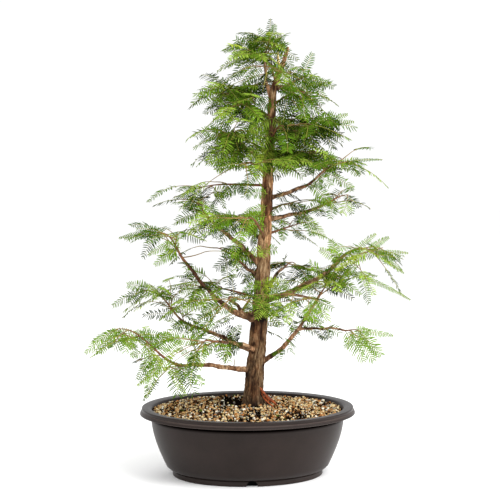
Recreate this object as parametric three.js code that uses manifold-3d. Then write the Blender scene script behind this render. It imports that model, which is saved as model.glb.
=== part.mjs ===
// A dawn redwood trained as a bonsai, standing in grit in an oval plastic pot.
// Millimetres, +Z up. The origin is on the ground, under the middle of the pot.
//
// The trunk runs whole from the grit to its tip. Boughs leave it as single tapering limbs, and each
// ends where a mass of foliage begins. A mass grows by one seeded rule: a stem that goes on from its
// bough, side twigs that fan from the stem, and toothed fronds that stand for its sprays of needles.
import * as THREE from "three";
import Module from "manifold-3d";

const wasm = await Module();
wasm.setup();
const { Manifold, Mesh: SolidMesh } = wasm;

// ---------------------------------------------------------------- driving dimensions

const GAP = 0.3; // clearance between pieces that touch

// Pot: every level is an oval whose half width is OVAL less than its half length.
const OVAL = 30.5;
const POT_SIDES = 28;
const POT_HEIGHT = 102;
const WALL = 3.8;
const FLOOR = 12;
const FOOT = { outer: 113, inner: 105, height: 8.5, recess: 6 };
const GROOVE = { inset: 1.6, height: 1.8, ledge: 5 };
const BODY = { foot: 119.5, shoulder: 145, belly: [30, 56], hollow: 48 };
const LIP = {
  under: 92,
  skirt: 161,
  step: 95.5,
  chamfer: 1,
  face: 159,
  round: 2.5,
  crown: 156.5,
  mouth: 144.4,
};
const NOTCH = { radius: 8.5, length: 18, sides: 16 }; // half-round, at the front and back of the foot

// Grit: level with the wall at its edge, mounded to a flat top under the trunk. Its brow is where
// the mound bends, as shares of the way in and of the way up. Its slope lies in heaps: rings at
// shares of the way in, whose points stand up or down by a height that a seeded rule deals out.
const GRIT = {
  edge: 96,
  top: 104,
  flat: 30,
  brow: { inward: 0.45, upward: 0.6 },
  heaps: { inward: [0.12, 0.27, 0.45, 0.65, 0.84], height: 2.6, seed: 5 },
};

// Trunk: leans from its base to the fork, then a slimmer leader leans on to the cut tip.
const TRUNK = {
  base: [7.5, 0],
  lean: [29.5, 6],
  bow: 2.2,
  fork: 566,
  tip: [60, 6, 638],
  curl: 0.4,
  girth: [14, 5.6, 2.2],
  sides: 12,
  stretches: { stem: 6, leader: 3 },
};
const FLARE = { spread: 0.42, fade: 14, rings: [0, 5, 14, 34], lobes: 5, depth: 0.4, turn: 0.8 };

// Limbs: sides and steps of each, how far one holds the slope it leaves and arrives with as a share
// of its length, and the swelling at its root.
const LIMB = { sides: 5, steps: 4, hold: 0.36, collar: 0.25, fade: 9 };

// Each limb: what it grows from and where (a height on the trunk, or a share of a limb's length),
// compass azimuth, level reach, rise, the slopes it leaves and arrives with, root and tip radius.
// One that grows from a tip leaves straight on from it.
const LIMBS = [
  ["low_left_bough", "trunk", 154, 192, 98, 14, 12, 6, 4.2, 2.6],
  ["second_left_bough", "trunk", 182, 158, 108, 38, 20, 16, 3.8, 2.2],
  ["elbow_bough", "trunk", 233, 196, 34, 9, 10, 24, 7.4, 4.6],
  ["elbow_left_bough", "elbow_bough", 1, 184, 78, 77, 36, 49, 3.6, 2.2],
  ["elbow_front_bough", "elbow_bough", 0.7, 240, 44, 26, 40, 20, 3.0, 1.8],
  ["middle_left_bough", "trunk", 290, 142, 44, 30, 34, 34, 3.4, 1.8],
  ["long_left_bough", "trunk", 312, 168, 78, 67, 40, 40, 4.2, 2.2],
  ["low_right_bough", "trunk", 162, 336, 96, 104, 28, 60, 3.6, 2.0],
  ["low_right_side_bough", "low_right_bough", 0.62, 334, 70, 2, 6, -10, 2.0, 1.3],
  ["main_right_bough", "trunk", 258, 348, 120, 66, 18, 50, 4.6, 2.4],
  ["high_right_bough", "trunk", 382, 14, 96, 22, 6, 22, 3.4, 1.9],
  ["arched_right_bough", "trunk", 413, 340, 79, 34, 16, 46, 3.2, 1.8],
  ["back_low_bough", "trunk", 205, 80, 76, 26, 18, 12, 3.6, 2.0],
  ["back_right_bough", "trunk", 268, 62, 86, 34, 24, 12, 3.4, 1.9],
  ["back_left_bough", "trunk", 345, 108, 78, 30, 22, 16, 3.4, 1.9],
  ["front_low_bough", "trunk", 184, 232, 104, 26, 22, 6, 3.2, 1.8],
  ["crown_left_bough", "trunk", 470, 190, 54, 30, 14, 38, 3.6, 2.0],
  ["crown_right_bough", "trunk", 497, 346, 50, 11, 16, 0, 3.0, 1.8],
  ["upper_left_bough", "trunk", 532, 162, 50, 28, 24, 36, 3.0, 1.6],
  ["top_right_bough", "trunk", 574, 8, 42, 18, 20, 26, 2.4, 1.4],
  ["second_leader", "trunk", 560, 168, 11, 62, 66, 88, 3.0, 1.9],
];

// Each mass of foliage: what its stem grows from and where, azimuth, reach and rise of the stem, the
// slopes it leaves the trunk and arrives with, side twigs, their length and tilt, leaf scale, seed.
const MASSES = [
  ["low_left_foliage", "low_left_bough", 1, 197, 110, 58, 0, -24, 6, 46, -12, 1, 14],
  ["second_left_foliage", "second_left_bough", 1, 164, 64, 50, 0, 0, 6, 42, 4, 1, 6],
  ["elbow_left_foliage", "elbow_left_bough", 1, 180, 36, 44, 0, 10, 5, 38, -2, 0.95, 4],
  ["elbow_front_foliage", "elbow_front_bough", 1, 270, 54, 8, 0, -12, 3, 34, -8, 1, 14],
  ["inner_left_foliage", "trunk", 262, 154, 96, 14, 14, -6, 4, 36, 0, 1, 40],
  ["middle_left_foliage", "middle_left_bough", 1, 156, 40, 18, 0, 4, 4, 34, -4, 1, 15],
  ["long_left_foliage", "long_left_bough", 1, 168, 28, 30, 0, 24, 4, 36, -2, 0.9, 16],
  ["thin_left_foliage", "trunk", 433, 162, 112, -6, -2, -18, 4, 34, -4, 0.9, 17],
  ["low_right_foliage", "low_right_bough", 1, 10, 16, 22, 0, 50, 4, 28, 8, 0.9, 18],
  ["low_right_side_foliage", "low_right_side_bough", 1, 336, 22, 0, 0, -30, 4, 26, -14, 0.9, 19],
  ["main_right_foliage", "main_right_bough", 1, 350, 48, 8, 0, -46, 6, 40, -20, 1, 2],
  ["short_right_foliage", "trunk", 359, 22, 66, 17, 12, 10, 3, 26, 0, 1, 21],
  ["inner_right_foliage", "trunk", 392, 50, 66, 12, 14, -8, 3, 30, -2, 1, 41],
  ["high_right_foliage", "high_right_bough", 1, 12, 34, 14, 0, 2, 3, 34, 6, 0.9, 22],
  ["arched_right_foliage", "arched_right_bough", 1, 346, 34, 18, 0, 10, 4, 36, 2, 0.9, 23],
  ["back_low_foliage", "back_low_bough", 1, 84, 36, 6, 0, -12, 4, 42, -8, 1, 24],
  ["back_right_foliage", "back_right_bough", 1, 58, 40, 8, 0, -12, 4, 40, -8, 1, 25],
  ["back_left_foliage", "back_left_bough", 1, 112, 42, 10, 0, -10, 4, 38, -6, 1, 26],
  ["front_low_foliage", "front_low_bough", 1, 250, 68, 6, 0, -14, 5, 36, -4, 1, 27],
  ["front_right_foliage", "trunk", 262, 304, 124, 8, 16, -12, 5, 40, -4, 1, 39],
  ["front_high_foliage", "trunk", 352, 252, 118, 32, 28, -12, 5, 36, -8, 1, 28],
  ["crown_left_foliage", "crown_left_bough", 1, 200, 10, 8, 0, 0, 5, 30, 6, 0.75, 29],
  ["crown_right_foliage", "crown_right_bough", 1, 344, 24, 10, 0, 10, 5, 34, 6, 0.85, 30],
  ["upper_left_foliage", "upper_left_bough", 1, 176, 16, 10, 0, 4, 4, 30, 4, 0.85, 33],
  ["top_left_foliage", "trunk", 602, 184, 38, 22, 30, 10, 5, 30, 0, 0.8, 42],
  ["top_right_foliage", "top_right_bough", 1, 10, 10, 6, 0, 20, 3, 20, 6, 0.7, 35],
  ["top_foliage", "second_leader", 1, 20, 6, 20, 0, 84, 5, 22, -6, 0.8, 37],
];

// The dense crown: masses that leave the trunk in a spiral, smaller towards the top.
const CROWN = {
  count: 9,
  heights: [446, 586],
  first: 230,
  turn: 137.5,
  reach: [66, 42],
  rise: [18, 20],
  leave: 26,
  arrive: -14,
  twigs: 4,
  span: [42, 30],
  tilt: -10,
  leaf: [0.95, 0.8],
  seed: 60,
};
MASSES.push(
  ...Array.from({ length: CROWN.count }, (_, i) => {
    const t = i / (CROWN.count - 1);
    const at = ([low, high]) => low + (high - low) * t;
    const { heights, first, turn, reach, rise, leave, arrive, twigs, span, tilt, leaf, seed } = CROWN;
    const stem = [first + turn * i, at(reach), at(rise), leave, arrive];
    const growth = [twigs, at(span), tilt, at(leaf), seed + i];
    return [`crown_foliage_${i + 1}`, "trunk", at(heights), ...stem, ...growth];
  }),
);

// Twigs and fronds. A stem that starts on the trunk is bare over its first stretch, and a mass keeps
// within its room, measured from the straight line between its stem's ends.
const STEM = { steps: 3, root: 2.2, joined: 1.9, tip: 1.5, bare: 0.3, room: 118 };
const TWIG = {
  radius: 1.4,
  first: 0.6,
  spare: 0.3,
  fan: [74, 44],
  shrink: [1.1, 0.7],
  follow: 0.4,
  fork: 0.4,
  open: 54,
  stalk: 7,
  aside: 0.84,
  vary: { place: 0.3, fan: 24, slope: 44, length: 0.35, open: 20 },
};
const FROND = {
  length: 64,
  width: 18,
  belly: [0.62, 0.5],
  ridge: 1.2,
  core: 1.6,
  taper: 0.6,
  pitch: 21,
  toothed: 0.82,
  lean: 0.5,
  sag: 0.08,
  droop: 0.24,
  follow: 0.8,
  dip: 4,
  vary: { azimuth: 20, slope: 26, length: 0.24, roll: 70 },
};

const FINISH = {
  pot: { color: 0x453d39, roughness: 0.5 },
  grit: { color: 0x7a6249, roughness: 0.95 },
  bark: { color: 0x7c5f45, roughness: 0.9 },
  foliage: { color: 0x6d9434, roughness: 0.7 },
};

// ---------------------------------------------------------------- shared rules

const radians = THREE.MathUtils.degToRad;
const degrees = THREE.MathUtils.radToDeg;
const mix = THREE.MathUtils.lerp;
const UP = new THREE.Vector3(0, 0, 1);
const STEEP = 0.9; // the upward share above which a heading counts as upright

// A repeatable stream of numbers from 0 to 1.
function seeded(seed) {
  let state = seed >>> 0;
  return () => {
    state = (state + 0x6d2b79f5) >>> 0;
    let t = state;
    t = Math.imul(t ^ (t >>> 15), t | 1);
    t ^= t + Math.imul(t ^ (t >>> 7), t | 61);
    return ((t ^ (t >>> 14)) >>> 0) / 2 ** 32;
  };
}

// The unit vector of a compass azimuth and a slope above level, both in degrees.
function bearing(azimuth, slope) {
  const level = Math.cos(radians(slope));
  return new THREE.Vector3(
    level * Math.cos(radians(azimuth)),
    level * Math.sin(radians(azimuth)),
    Math.sin(radians(slope)),
  );
}

function azimuthOf(v) {
  return degrees(Math.atan2(v.y, v.x));
}

function slopeOf(v) {
  return degrees(Math.atan2(v.z, Math.hypot(v.x, v.y)));
}

// The points of a ring, one for each of its sides, from the turn of each in radians.
function ring(sides, pointAt) {
  return Array.from({ length: sides }, (_, k) => pointAt((k / sides) * Math.PI * 2));
}

// A line that sets off along a heading and arrives on an azimuth at a slope.
function limbLine({ foot, heading }, azimuth, reach, rise, arrive) {
  const end = bearing(azimuth, 0).multiplyScalar(reach).addScaledVector(UP, rise).add(foot);
  const hold = LIMB.hold * Math.hypot(reach, rise);
  return new THREE.CubicBezierCurve3(
    foot,
    foot.clone().addScaledVector(heading, hold),
    end.clone().addScaledVector(bearing(azimuth, arrive), -hold),
    end,
  );
}

// ---------------------------------------------------------------- solids

// A closed solid of vertices and triangles, turned to face outwards.
function closed(points, faces) {
  const made = new Manifold(
    new SolidMesh({
      numProp: 3,
      vertProperties: new Float32Array(points.flatMap((p) => [p.x, p.y, p.z])),
      triVerts: new Uint32Array(faces),
    }),
  );
  if (made.volume() > 0) return made;
  const turned = [];
  for (let i = 0; i < faces.length; i += 3) turned.push(faces[i], faces[i + 2], faces[i + 1]);
  return closed(points, turned);
}

// A closed solid from rings of equally many points, flat across its first and last ring.
function loft(rings) {
  const count = rings[0].length;
  const faces = [];
  for (let r = 0; r + 1 < rings.length; r++) {
    for (let k = 0; k < count; k++) {
      const a = r * count + k;
      const b = r * count + ((k + 1) % count);
      faces.push(a, b, b + count, a, b + count, a + count);
    }
  }
  const last = (rings.length - 1) * count;
  for (let k = 1; k + 1 < count; k++) {
    faces.push(0, k + 1, k);
    faces.push(last, last + k, last + k + 1);
  }
  return closed(rings.flat(), faces);
}

// A limb: rings square to its line, radius from root to tip, swollen a little at the root.
function limbSolid(line, root, tip) {
  const rings = [];
  let side = null;
  for (let i = 0; i <= LIMB.steps; i++) {
    const t = i / LIMB.steps;
    const along = line.getTangent(t);
    side ??= Math.abs(along.z) > STEEP ? new THREE.Vector3(1, 0, 0) : UP.clone();
    side = side.clone().addScaledVector(along, -side.dot(along)).normalize();
    const axes = [side.clone(), along.clone().cross(side)];
    const radius = mix(root, tip, t) * (1 + LIMB.collar * Math.exp(-t * LIMB.fade));
    const pointAt = (turn) =>
      line
        .getPoint(t)
        .addScaledVector(axes[0], radius * Math.cos(turn))
        .addScaledVector(axes[1], radius * Math.sin(turn));
    rings.push(ring(LIMB.sides, pointAt));
  }
  return loft(rings);
}

// The largest closed body of a solid: sealed hollows are filled and loose scraps dropped.
function whole(solid) {
  return solid.decompose().reduce((a, b) => (b.volume() > a.volume() ? b : a));
}

function touches(a, b) {
  const p = a.boundingBox();
  const q = b.boundingBox();
  const apart = [0, 1, 2].some((i) => p.min[i] > q.max[i] || q.min[i] > p.max[i]);
  return !apart && a.intersect(b).volume() > 0;
}

// ---------------------------------------------------------------- pot and grit

function oval(halfLength, z, [x, y] = [0, 0], trim = OVAL) {
  const halfWidth = halfLength - trim;
  const pointAt = (turn) =>
    new THREE.Vector3(x + halfLength * Math.cos(turn), y + halfWidth * Math.sin(turn), z);
  return ring(POT_SIDES, pointAt);
}

// Half length of the pot's outer side at a height, bellied between the foot and the shoulder.
function bodyAt(z) {
  const t = (z - FOOT.height) / (LIP.under - FOOT.height);
  return mix(BODY.foot, BODY.shoulder, Math.sin((Math.PI / 2) * t));
}

// The pot's hollow, from the mouth down: half length and height of each level.
const HOLLOW = {
  mouth: [LIP.mouth, POT_HEIGHT],
  shoulder: [bodyAt(LIP.under) - WALL, LIP.under],
  belly: [bodyAt(BODY.hollow) - WALL, BODY.hollow],
  floor: [bodyAt(FLOOR) - WALL, FLOOR],
};

// A round bar along Y, centred on a point of the ground.
function notchBar(y) {
  const { radius, length, sides } = NOTCH;
  const end = (at) =>
    ring(sides, (turn) => new THREE.Vector3(radius * Math.cos(turn), at, radius * Math.sin(turn)));
  return loft([end(y - length / 2), end(y + length / 2)]);
}

function pot() {
  const outside = [
    [FOOT.inner, FOOT.recess],
    [FOOT.inner, 0],
    [FOOT.outer, 0],
    [FOOT.outer, FOOT.height - GROOVE.height],
    [FOOT.outer - GROOVE.inset, FOOT.height],
    [FOOT.outer + GROOVE.ledge, FOOT.height + GROOVE.height],
    ...BODY.belly.map((z) => [bodyAt(z), z]),
    [BODY.shoulder, LIP.under],
    [LIP.skirt, LIP.under],
    [LIP.skirt, LIP.step],
    [LIP.face, LIP.step + LIP.chamfer],
    [LIP.face, POT_HEIGHT - LIP.round],
    [LIP.crown, POT_HEIGHT],
  ];
  const levels = [...outside, ...Object.values(HOLLOW)];
  const shell = loft(levels.map(([halfLength, z]) => oval(halfLength, z)));
  const foot = (FOOT.outer + FOOT.inner) / 2 - OVAL;
  return shell.subtract(notchBar(-foot)).subtract(notchBar(foot));
}

// Height of the grit's mound at a share of the way in from its edge to its flat top.
function moundAt(inward) {
  const { edge, top, brow } = GRIT;
  const upward =
    inward < brow.inward
      ? mix(0, brow.upward, inward / brow.inward)
      : mix(brow.upward, 1, (inward - brow.inward) / (1 - brow.inward));
  return mix(edge, top, upward);
}

function grit() {
  const { edge, top, flat, heaps } = GRIT;
  const { mouth, shoulder, belly, floor } = HOLLOW;
  const room = 2 * GAP;
  const upTheLip = (edge - LIP.under) / (POT_HEIGHT - LIP.under);
  const rim = mix(shoulder[0], mouth[0], upTheLip) - room;
  const draw = seeded(heaps.seed);
  const heapedRing = (inward) => {
    const middle = TRUNK.base.map((x) => x * inward);
    const level = oval(mix(rim, flat, inward), moundAt(inward), middle, OVAL * (1 - inward));
    return level.map((p) => p.addScaledVector(UP, heaps.height * (draw() - 0.5)));
  };
  return loft([
    oval(floor[0] - room, floor[1] + GAP),
    oval(belly[0] - room, belly[1]),
    oval(shoulder[0] - room, shoulder[1]),
    oval(rim, edge),
    ...heaps.inward.map(heapedRing),
    oval(flat, top, TRUNK.base, 0),
  ]);
}

// ---------------------------------------------------------------- trunk and limbs

// Centre and radius of the trunk at a height.
function trunkAt(z) {
  const { base, lean, bow, fork, tip, curl, girth } = TRUNK;
  const t = Math.min((z - GRIT.top) / (fork - GRIT.top), 1);
  const swing = bow * Math.sin(Math.PI * t);
  const centre = new THREE.Vector3(base[0] + lean[0] * t + swing, base[1] + lean[1] * t, z);
  if (z <= fork) return { centre, radius: mix(girth[0], girth[1], t) };
  const u = (z - fork) / (tip[2] - fork);
  const eased = THREE.MathUtils.smoothstep(u, 0, 1);
  centre.x = mix(centre.x, tip[0], mix(u, eased, curl));
  centre.y = mix(centre.y, tip[1], u);
  return { centre, radius: mix(girth[1], girth[2], u) };
}

// The trunk's solid, swollen all round by a clearance where it is used to cut.
function trunk(swell = 0) {
  const { sides, fork, tip, stretches } = TRUNK;
  const foot = GRIT.top + GAP;
  const heights = FLARE.rings.map((height) => foot + height);
  const straight = heights.at(-1);
  for (let i = 1; i <= stretches.stem; i++) heights.push(mix(straight, fork, i / stretches.stem));
  for (let i = 1; i <= stretches.leader; i++) heights.push(mix(fork, tip[2], i / stretches.leader));
  const rings = heights.map((z) => {
    const { centre, radius } = trunkAt(z);
    const spread = FLARE.spread * Math.exp(-(z - foot) / FLARE.fade);
    const pointAt = (turn) => {
      const lobe = 1 - FLARE.depth + FLARE.depth * Math.cos(FLARE.lobes * turn + FLARE.turn);
      const r = radius * (1 + spread * lobe) + swell;
      return new THREE.Vector3(r * Math.cos(turn), r * Math.sin(turn), 0).add(centre);
    };
    return ring(sides, pointAt);
  });
  return loft(rings);
}

// Where a limb or a stem starts and its heading: out of the side of the trunk or of a limb, or
// straight on from a limb's tip, clear of it.
function rootOn(limbs, parent, place, azimuth, leave) {
  const heading = bearing(azimuth, leave);
  if (parent === "trunk") return { foot: trunkAt(place).centre, heading };
  const { line } = limbs[parent];
  if (place < 1) return { foot: line.getPoint(place), heading };
  const onward = line.getTangent(1);
  return { foot: line.getPoint(1).addScaledVector(onward, GAP), heading: onward };
}

// Every limb by name: its line, its solid, and a slightly swollen copy to cut its own limbs with.
function growLimbs(trunkSwollen) {
  const limbs = { trunk: { swollen: trunkSwollen } };
  for (const [name, parent, place, azimuth, reach, rise, leave, arrive, root, tip] of LIMBS) {
    const start = rootOn(limbs, parent, place, azimuth, leave);
    const line = limbLine(start, azimuth, reach, rise, arrive);
    const solid = limbSolid(line, root, tip);
    const swollen = limbSolid(line, root + GAP, tip + GAP);
    const fitted = place === 1 ? solid : whole(solid.subtract(limbs[parent].swollen));
    limbs[name] = { line, solid: fitted, swollen };
  }
  return limbs;
}

// ---------------------------------------------------------------- foliage

// A level direction square to a heading, turned about the heading by a roll in degrees.
function sideOf(forward, roll) {
  const level = new THREE.Vector3().crossVectors(UP, forward);
  if (forward.z ** 2 > STEEP) level.set(0, 1, 0);
  return level.normalize().applyAxisAngle(forward, radians(roll));
}

// One station of a shoot's rib. Its tooth is the half width of the toothed stretch that follows it.
function ribAt(point, forward, roll, core, tooth = 0) {
  const side = sideOf(forward, roll);
  const up = new THREE.Vector3().crossVectors(forward, side);
  return { point, forward, side, up, core, tooth };
}

// A frond: the drooping toothed end of a shoot, as its ribs and the point it ends in.
function frond(start, { azimuth, slope, length, roll }) {
  const forward = bearing(azimuth, slope);
  const at = (s) =>
    start
      .clone()
      .addScaledVector(forward, s * length)
      .addScaledVector(UP, -FROND.droop * length * s * s);
  const count = Math.max(Math.round(length / FROND.pitch), 2);
  const ribs = Array.from({ length: count + 1 }, (_, i) => {
    const s = (i / count) * FROND.toothed;
    const middle = ((i + 0.5) / count) * FROND.toothed;
    const belly = FROND.belly[0] + FROND.belly[1] * Math.sin(Math.PI * middle);
    const width = (FROND.width * belly * length) / FROND.length;
    return ribAt(at(s), forward, roll, FROND.core * mix(1, FROND.taper, s), i < count ? width : 0);
  });
  return { ribs, end: at(1) };
}

// A closed shoot: three-sided along its ribs, flat below and ridged above, with a pair of teeth on
// each toothed stretch, and a point at its end.
function shootSolid({ ribs, end }, swell = 0) {
  const ridge = FROND.ridge / FROND.core;
  const points = ribs.flatMap(({ point, side, up, core }) => [
    point.clone().addScaledVector(up, core * ridge + swell),
    point.clone().addScaledVector(side, core + swell).addScaledVector(up, -swell),
    point.clone().addScaledVector(side, -core - swell).addScaledVector(up, -swell),
  ]);
  const faces = [0, 1, 2];
  for (let i = 0; i + 1 < ribs.length; i++) {
    const [top, right, left] = [3 * i, 3 * i + 1, 3 * i + 2];
    const [nextTop, nextRight, nextLeft] = [top + 3, right + 3, left + 3];
    faces.push(right, nextLeft, left, right, nextRight, nextLeft);
    const { forward, side, up, tooth, point } = ribs[i];
    if (!tooth) {
      faces.push(top, nextTop, right, nextTop, nextRight, right);
      faces.push(top, left, nextTop, nextTop, left, nextLeft);
      continue;
    }
    const width = tooth + swell;
    const middle = point.clone().lerp(ribs[i + 1].point, 0.5);
    middle.addScaledVector(forward, FROND.lean * width).addScaledVector(up, -FROND.sag * width);
    const rightTip = points.push(middle.clone().addScaledVector(side, width)) - 1;
    const leftTip = points.push(middle.clone().addScaledVector(side, -width)) - 1;
    faces.push(top, nextTop, rightTip, top, rightTip, right);
    faces.push(nextTop, nextRight, rightTip, right, rightTip, nextRight);
    faces.push(top, leftTip, nextTop, top, left, leftTip);
    faces.push(nextTop, leftTip, nextLeft, left, nextLeft, leftTip);
  }
  const top = 3 * (ribs.length - 1);
  const last = points.push(end) - 1;
  faces.push(top + 1, top, last, top, top + 2, last, top + 2, top + 1, last);
  return closed(points, faces);
}

// The size and lie of a frond that goes on from a heading.
function drawFrond(azimuth, slope, scale, about) {
  const { length, follow, dip, vary } = FROND;
  return {
    azimuth: azimuth + about(vary.azimuth),
    slope: slope * follow - dip + about(vary.slope),
    length: length * scale * (1 + about(vary.length)),
    roll: about(vary.roll),
  };
}

// A straight twig that ends in a frond, and the shorter shoot that it carries on one side.
function drawTwig(root, azimuth, slope, length, leaf, side, about) {
  const end = bearing(azimuth, slope).multiplyScalar(length).add(root);
  const fork = root.clone().lerp(end, TWIG.fork);
  const aside = azimuth + side * (TWIG.open + about(TWIG.vary.open));
  return [
    { root, end, tuft: drawFrond(azimuth, slope, leaf, about) },
    {
      root: fork,
      end: bearing(aside, slope).multiplyScalar(TWIG.stalk).add(fork),
      tuft: drawFrond(aside, slope, leaf * TWIG.aside, about),
    },
  ];
}

// The stem and shoots of a mass. Every number is drawn here, before anything is left off. The twigs
// of a stem that stands upright go round it, and those of one that lies fan to its two sides.
function growMass(limbs, row) {
  const [, parent, place, azimuth, reach, rise, leave, arrive, twigs, span, tilt, leaf, seed] = row;
  const draw = seeded(seed);
  const about = (size) => size * (draw() - 0.5);
  const onTrunk = parent === "trunk";
  const start = rootOn(limbs, parent, place, azimuth, leave);
  const stem = limbLine(start, azimuth, reach, rise, arrive);
  const upright = rise > reach;
  const shoots = [];
  for (let i = 0; i < twigs; i++) {
    const share = (i + TWIG.first + about(TWIG.vary.place)) / (twigs + TWIG.spare);
    const t = mix(onTrunk ? STEM.bare : 0, 1, share);
    const side = i % 2 ? 1 : -1;
    const along = stem.getTangent(t);
    const fan = upright ? i * CROWN.turn : side * (mix(...TWIG.fan, t) + about(TWIG.vary.fan));
    const turned = (upright ? 0 : azimuthOf(along)) + fan;
    const slope = tilt + TWIG.follow * slopeOf(along) + about(TWIG.vary.slope);
    const length = span * mix(...TWIG.shrink, t) * (1 + about(TWIG.vary.length));
    shoots.push(...drawTwig(stem.getPoint(t), turned, slope, length, leaf, side, about));
  }
  const out = stem.getTangent(1);
  return { stem, onTrunk, shoots, ending: drawFrond(azimuthOf(out), slopeOf(out), leaf, about) };
}

// A mass as one solid. A shoot that would leave the mass's room, or touch the pot, a limb, another
// mass or this mass's own fronds, is left off, and so is the stem's last frond.
function massSolid({ stem, onTrunk, shoots, ending }, others, trunkSwollen) {
  const root = onTrunk ? STEM.root : STEM.joined;
  const stemRibs = Array.from({ length: STEM.steps }, (_, i) => {
    const t = i / STEM.steps;
    return ribAt(stem.getPoint(t), stem.getTangent(t), 0, mix(root, STEM.tip, t));
  });
  const last = frond(stem.getPoint(1), ending);
  const fitted = (solid) => (onTrunk ? whole(solid.subtract(trunkSwollen)) : solid);
  const clear = (solid, among) => !among.some((other) => touches(solid, other));
  const leafy = { ribs: [...stemRibs, ...last.ribs], end: last.end };
  const bare = { ribs: stemRibs, end: stem.getPoint(1) };
  const shape = clear(fitted(shootSolid(leafy, GAP)), others) ? leafy : bare;
  const parts = [fitted(shootSolid(shape))];
  const chord = new THREE.Line3(stem.getPoint(0), stem.getPoint(1));
  for (const { root: foot, end, tuft } of shoots) {
    const toothed = frond(end, tuft);
    const nearest = chord.closestPointToPoint(toothed.end, true, new THREE.Vector3());
    if (nearest.distanceTo(toothed.end) > STEM.room) continue;
    const twig = ribAt(foot, end.clone().sub(foot).normalize(), tuft.roll, TWIG.radius);
    const shoot = { ribs: [twig, ...toothed.ribs], end: toothed.end };
    if (!clear(shootSolid(shoot, GAP), others)) continue;
    if (clear(shootSolid(toothed, GAP), parts)) parts.push(shootSolid(shoot));
  }
  return whole(Manifold.union(parts));
}

// ---------------------------------------------------------------- the plant

// A named mesh in a group, with its own origin at a point of the part.
function addMesh(group, name, solid, finish, at = new THREE.Vector3()) {
  const { vertProperties, triVerts } = solid.getMesh();
  const geometry = new THREE.BufferGeometry();
  geometry.setAttribute("position", new THREE.BufferAttribute(vertProperties, 3));
  geometry.setIndex(new THREE.BufferAttribute(triVerts, 1));
  geometry.translate(-at.x, -at.y, -at.z);
  const look = { ...FINISH[finish], metalness: 0, flatShading: true };
  const mesh = new THREE.Mesh(geometry, new THREE.MeshStandardMaterial(look));
  mesh.name = name;
  mesh.position.copy(at);
  group.add(mesh);
}

const plant = new THREE.Group();
const [vessel, wood, crown] = [new THREE.Group(), new THREE.Group(), new THREE.Group()];
plant.add(vessel, wood, crown);

const potSolid = pot();
const gritSolid = grit();
addMesh(vessel, "pot", potSolid, "pot");
addMesh(vessel, "grit", gritSolid, "grit");

const trunkSolid = trunk();
const trunkSwollen = trunk(GAP);
const limbs = growLimbs(trunkSwollen);
addMesh(wood, "trunk", trunkSolid, "bark", trunkAt(GRIT.top).centre);
const standing = [potSolid, gritSolid, trunkSolid];
for (const [name] of LIMBS) {
  addMesh(wood, name, limbs[name].solid, "bark", limbs[name].line.getPoint(0));
  standing.push(limbs[name].solid);
}
for (const mass of MASSES) {
  const grown = growMass(limbs, mass);
  const solid = massSolid(grown, standing, trunkSwollen);
  addMesh(crown, mass[0], solid, "foliage", grown.stem.getPoint(0));
  standing.push(solid);
}

export default plant;
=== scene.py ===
"""A dawn redwood bonsai in an oval pot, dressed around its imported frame.

Sizes are millimetres until a mesh is made. The limbs and masses repeat the source's tables, rule and
seeds, and each mass is then carried on to finer twigs and sprays of needles.
"""

import math
from collections import namedtuple
from itertools import combinations

import bpy
import numpy as np
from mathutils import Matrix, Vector


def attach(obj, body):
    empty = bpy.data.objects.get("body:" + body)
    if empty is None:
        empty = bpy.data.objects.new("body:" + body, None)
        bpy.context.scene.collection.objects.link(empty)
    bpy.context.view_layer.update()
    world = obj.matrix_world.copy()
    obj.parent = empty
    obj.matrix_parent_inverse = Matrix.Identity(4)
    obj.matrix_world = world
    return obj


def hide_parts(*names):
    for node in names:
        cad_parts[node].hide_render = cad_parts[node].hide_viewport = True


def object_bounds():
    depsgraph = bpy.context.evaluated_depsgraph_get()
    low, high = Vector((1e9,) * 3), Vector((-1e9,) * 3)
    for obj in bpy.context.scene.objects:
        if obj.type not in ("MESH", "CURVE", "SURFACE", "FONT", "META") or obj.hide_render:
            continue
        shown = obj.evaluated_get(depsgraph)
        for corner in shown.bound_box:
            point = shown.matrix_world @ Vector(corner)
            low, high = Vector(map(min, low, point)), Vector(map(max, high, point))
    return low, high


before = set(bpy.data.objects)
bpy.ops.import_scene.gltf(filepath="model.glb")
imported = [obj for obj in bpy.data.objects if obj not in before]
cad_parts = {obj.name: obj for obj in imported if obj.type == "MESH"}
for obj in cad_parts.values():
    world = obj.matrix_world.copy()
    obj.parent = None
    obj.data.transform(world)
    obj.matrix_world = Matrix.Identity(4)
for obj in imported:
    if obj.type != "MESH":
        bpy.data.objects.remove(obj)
cad_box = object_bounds()

MM = 0.001
ACROSS, BACK, UP = np.eye(3)

# ---------------------------------------------------------------- sizes shared with the source

GAP = 0.3
OVAL = 30.5
POT_HEIGHT = 102
WALL = 3.8
FLOOR = 12
FOOT = {"outer": 113, "inner": 105, "height": 8.5, "recess": 6}
GROOVE = {"inset": 1.6, "height": 1.8, "ledge": 5, "niche": 2}
BODY = {"foot": 119.5, "shoulder": 145}
LIP = {"under": 92, "skirt": 161, "step": 95.5, "chamfer": 1, "face": 159, "round": 2.5,
       "mouth": 144.4}
NOTCH = 8.5
GRIT = {"edge": 96, "top": 104, "flat": 30}

TRUNK = {"base": (7.5, 0), "lean": (29.5, 6), "bow": 2.2, "fork": 566, "tip": (60, 6, 638),
         "curl": 0.4, "girth": (14, 5.6, 2.2)}
FLARE = {"spread": 0.42, "fade": 14, "lobes": 5, "depth": 0.4, "turn": 0.8}
LIMB = {"hold": 0.36, "collar": 0.25, "fade": 9}

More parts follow.
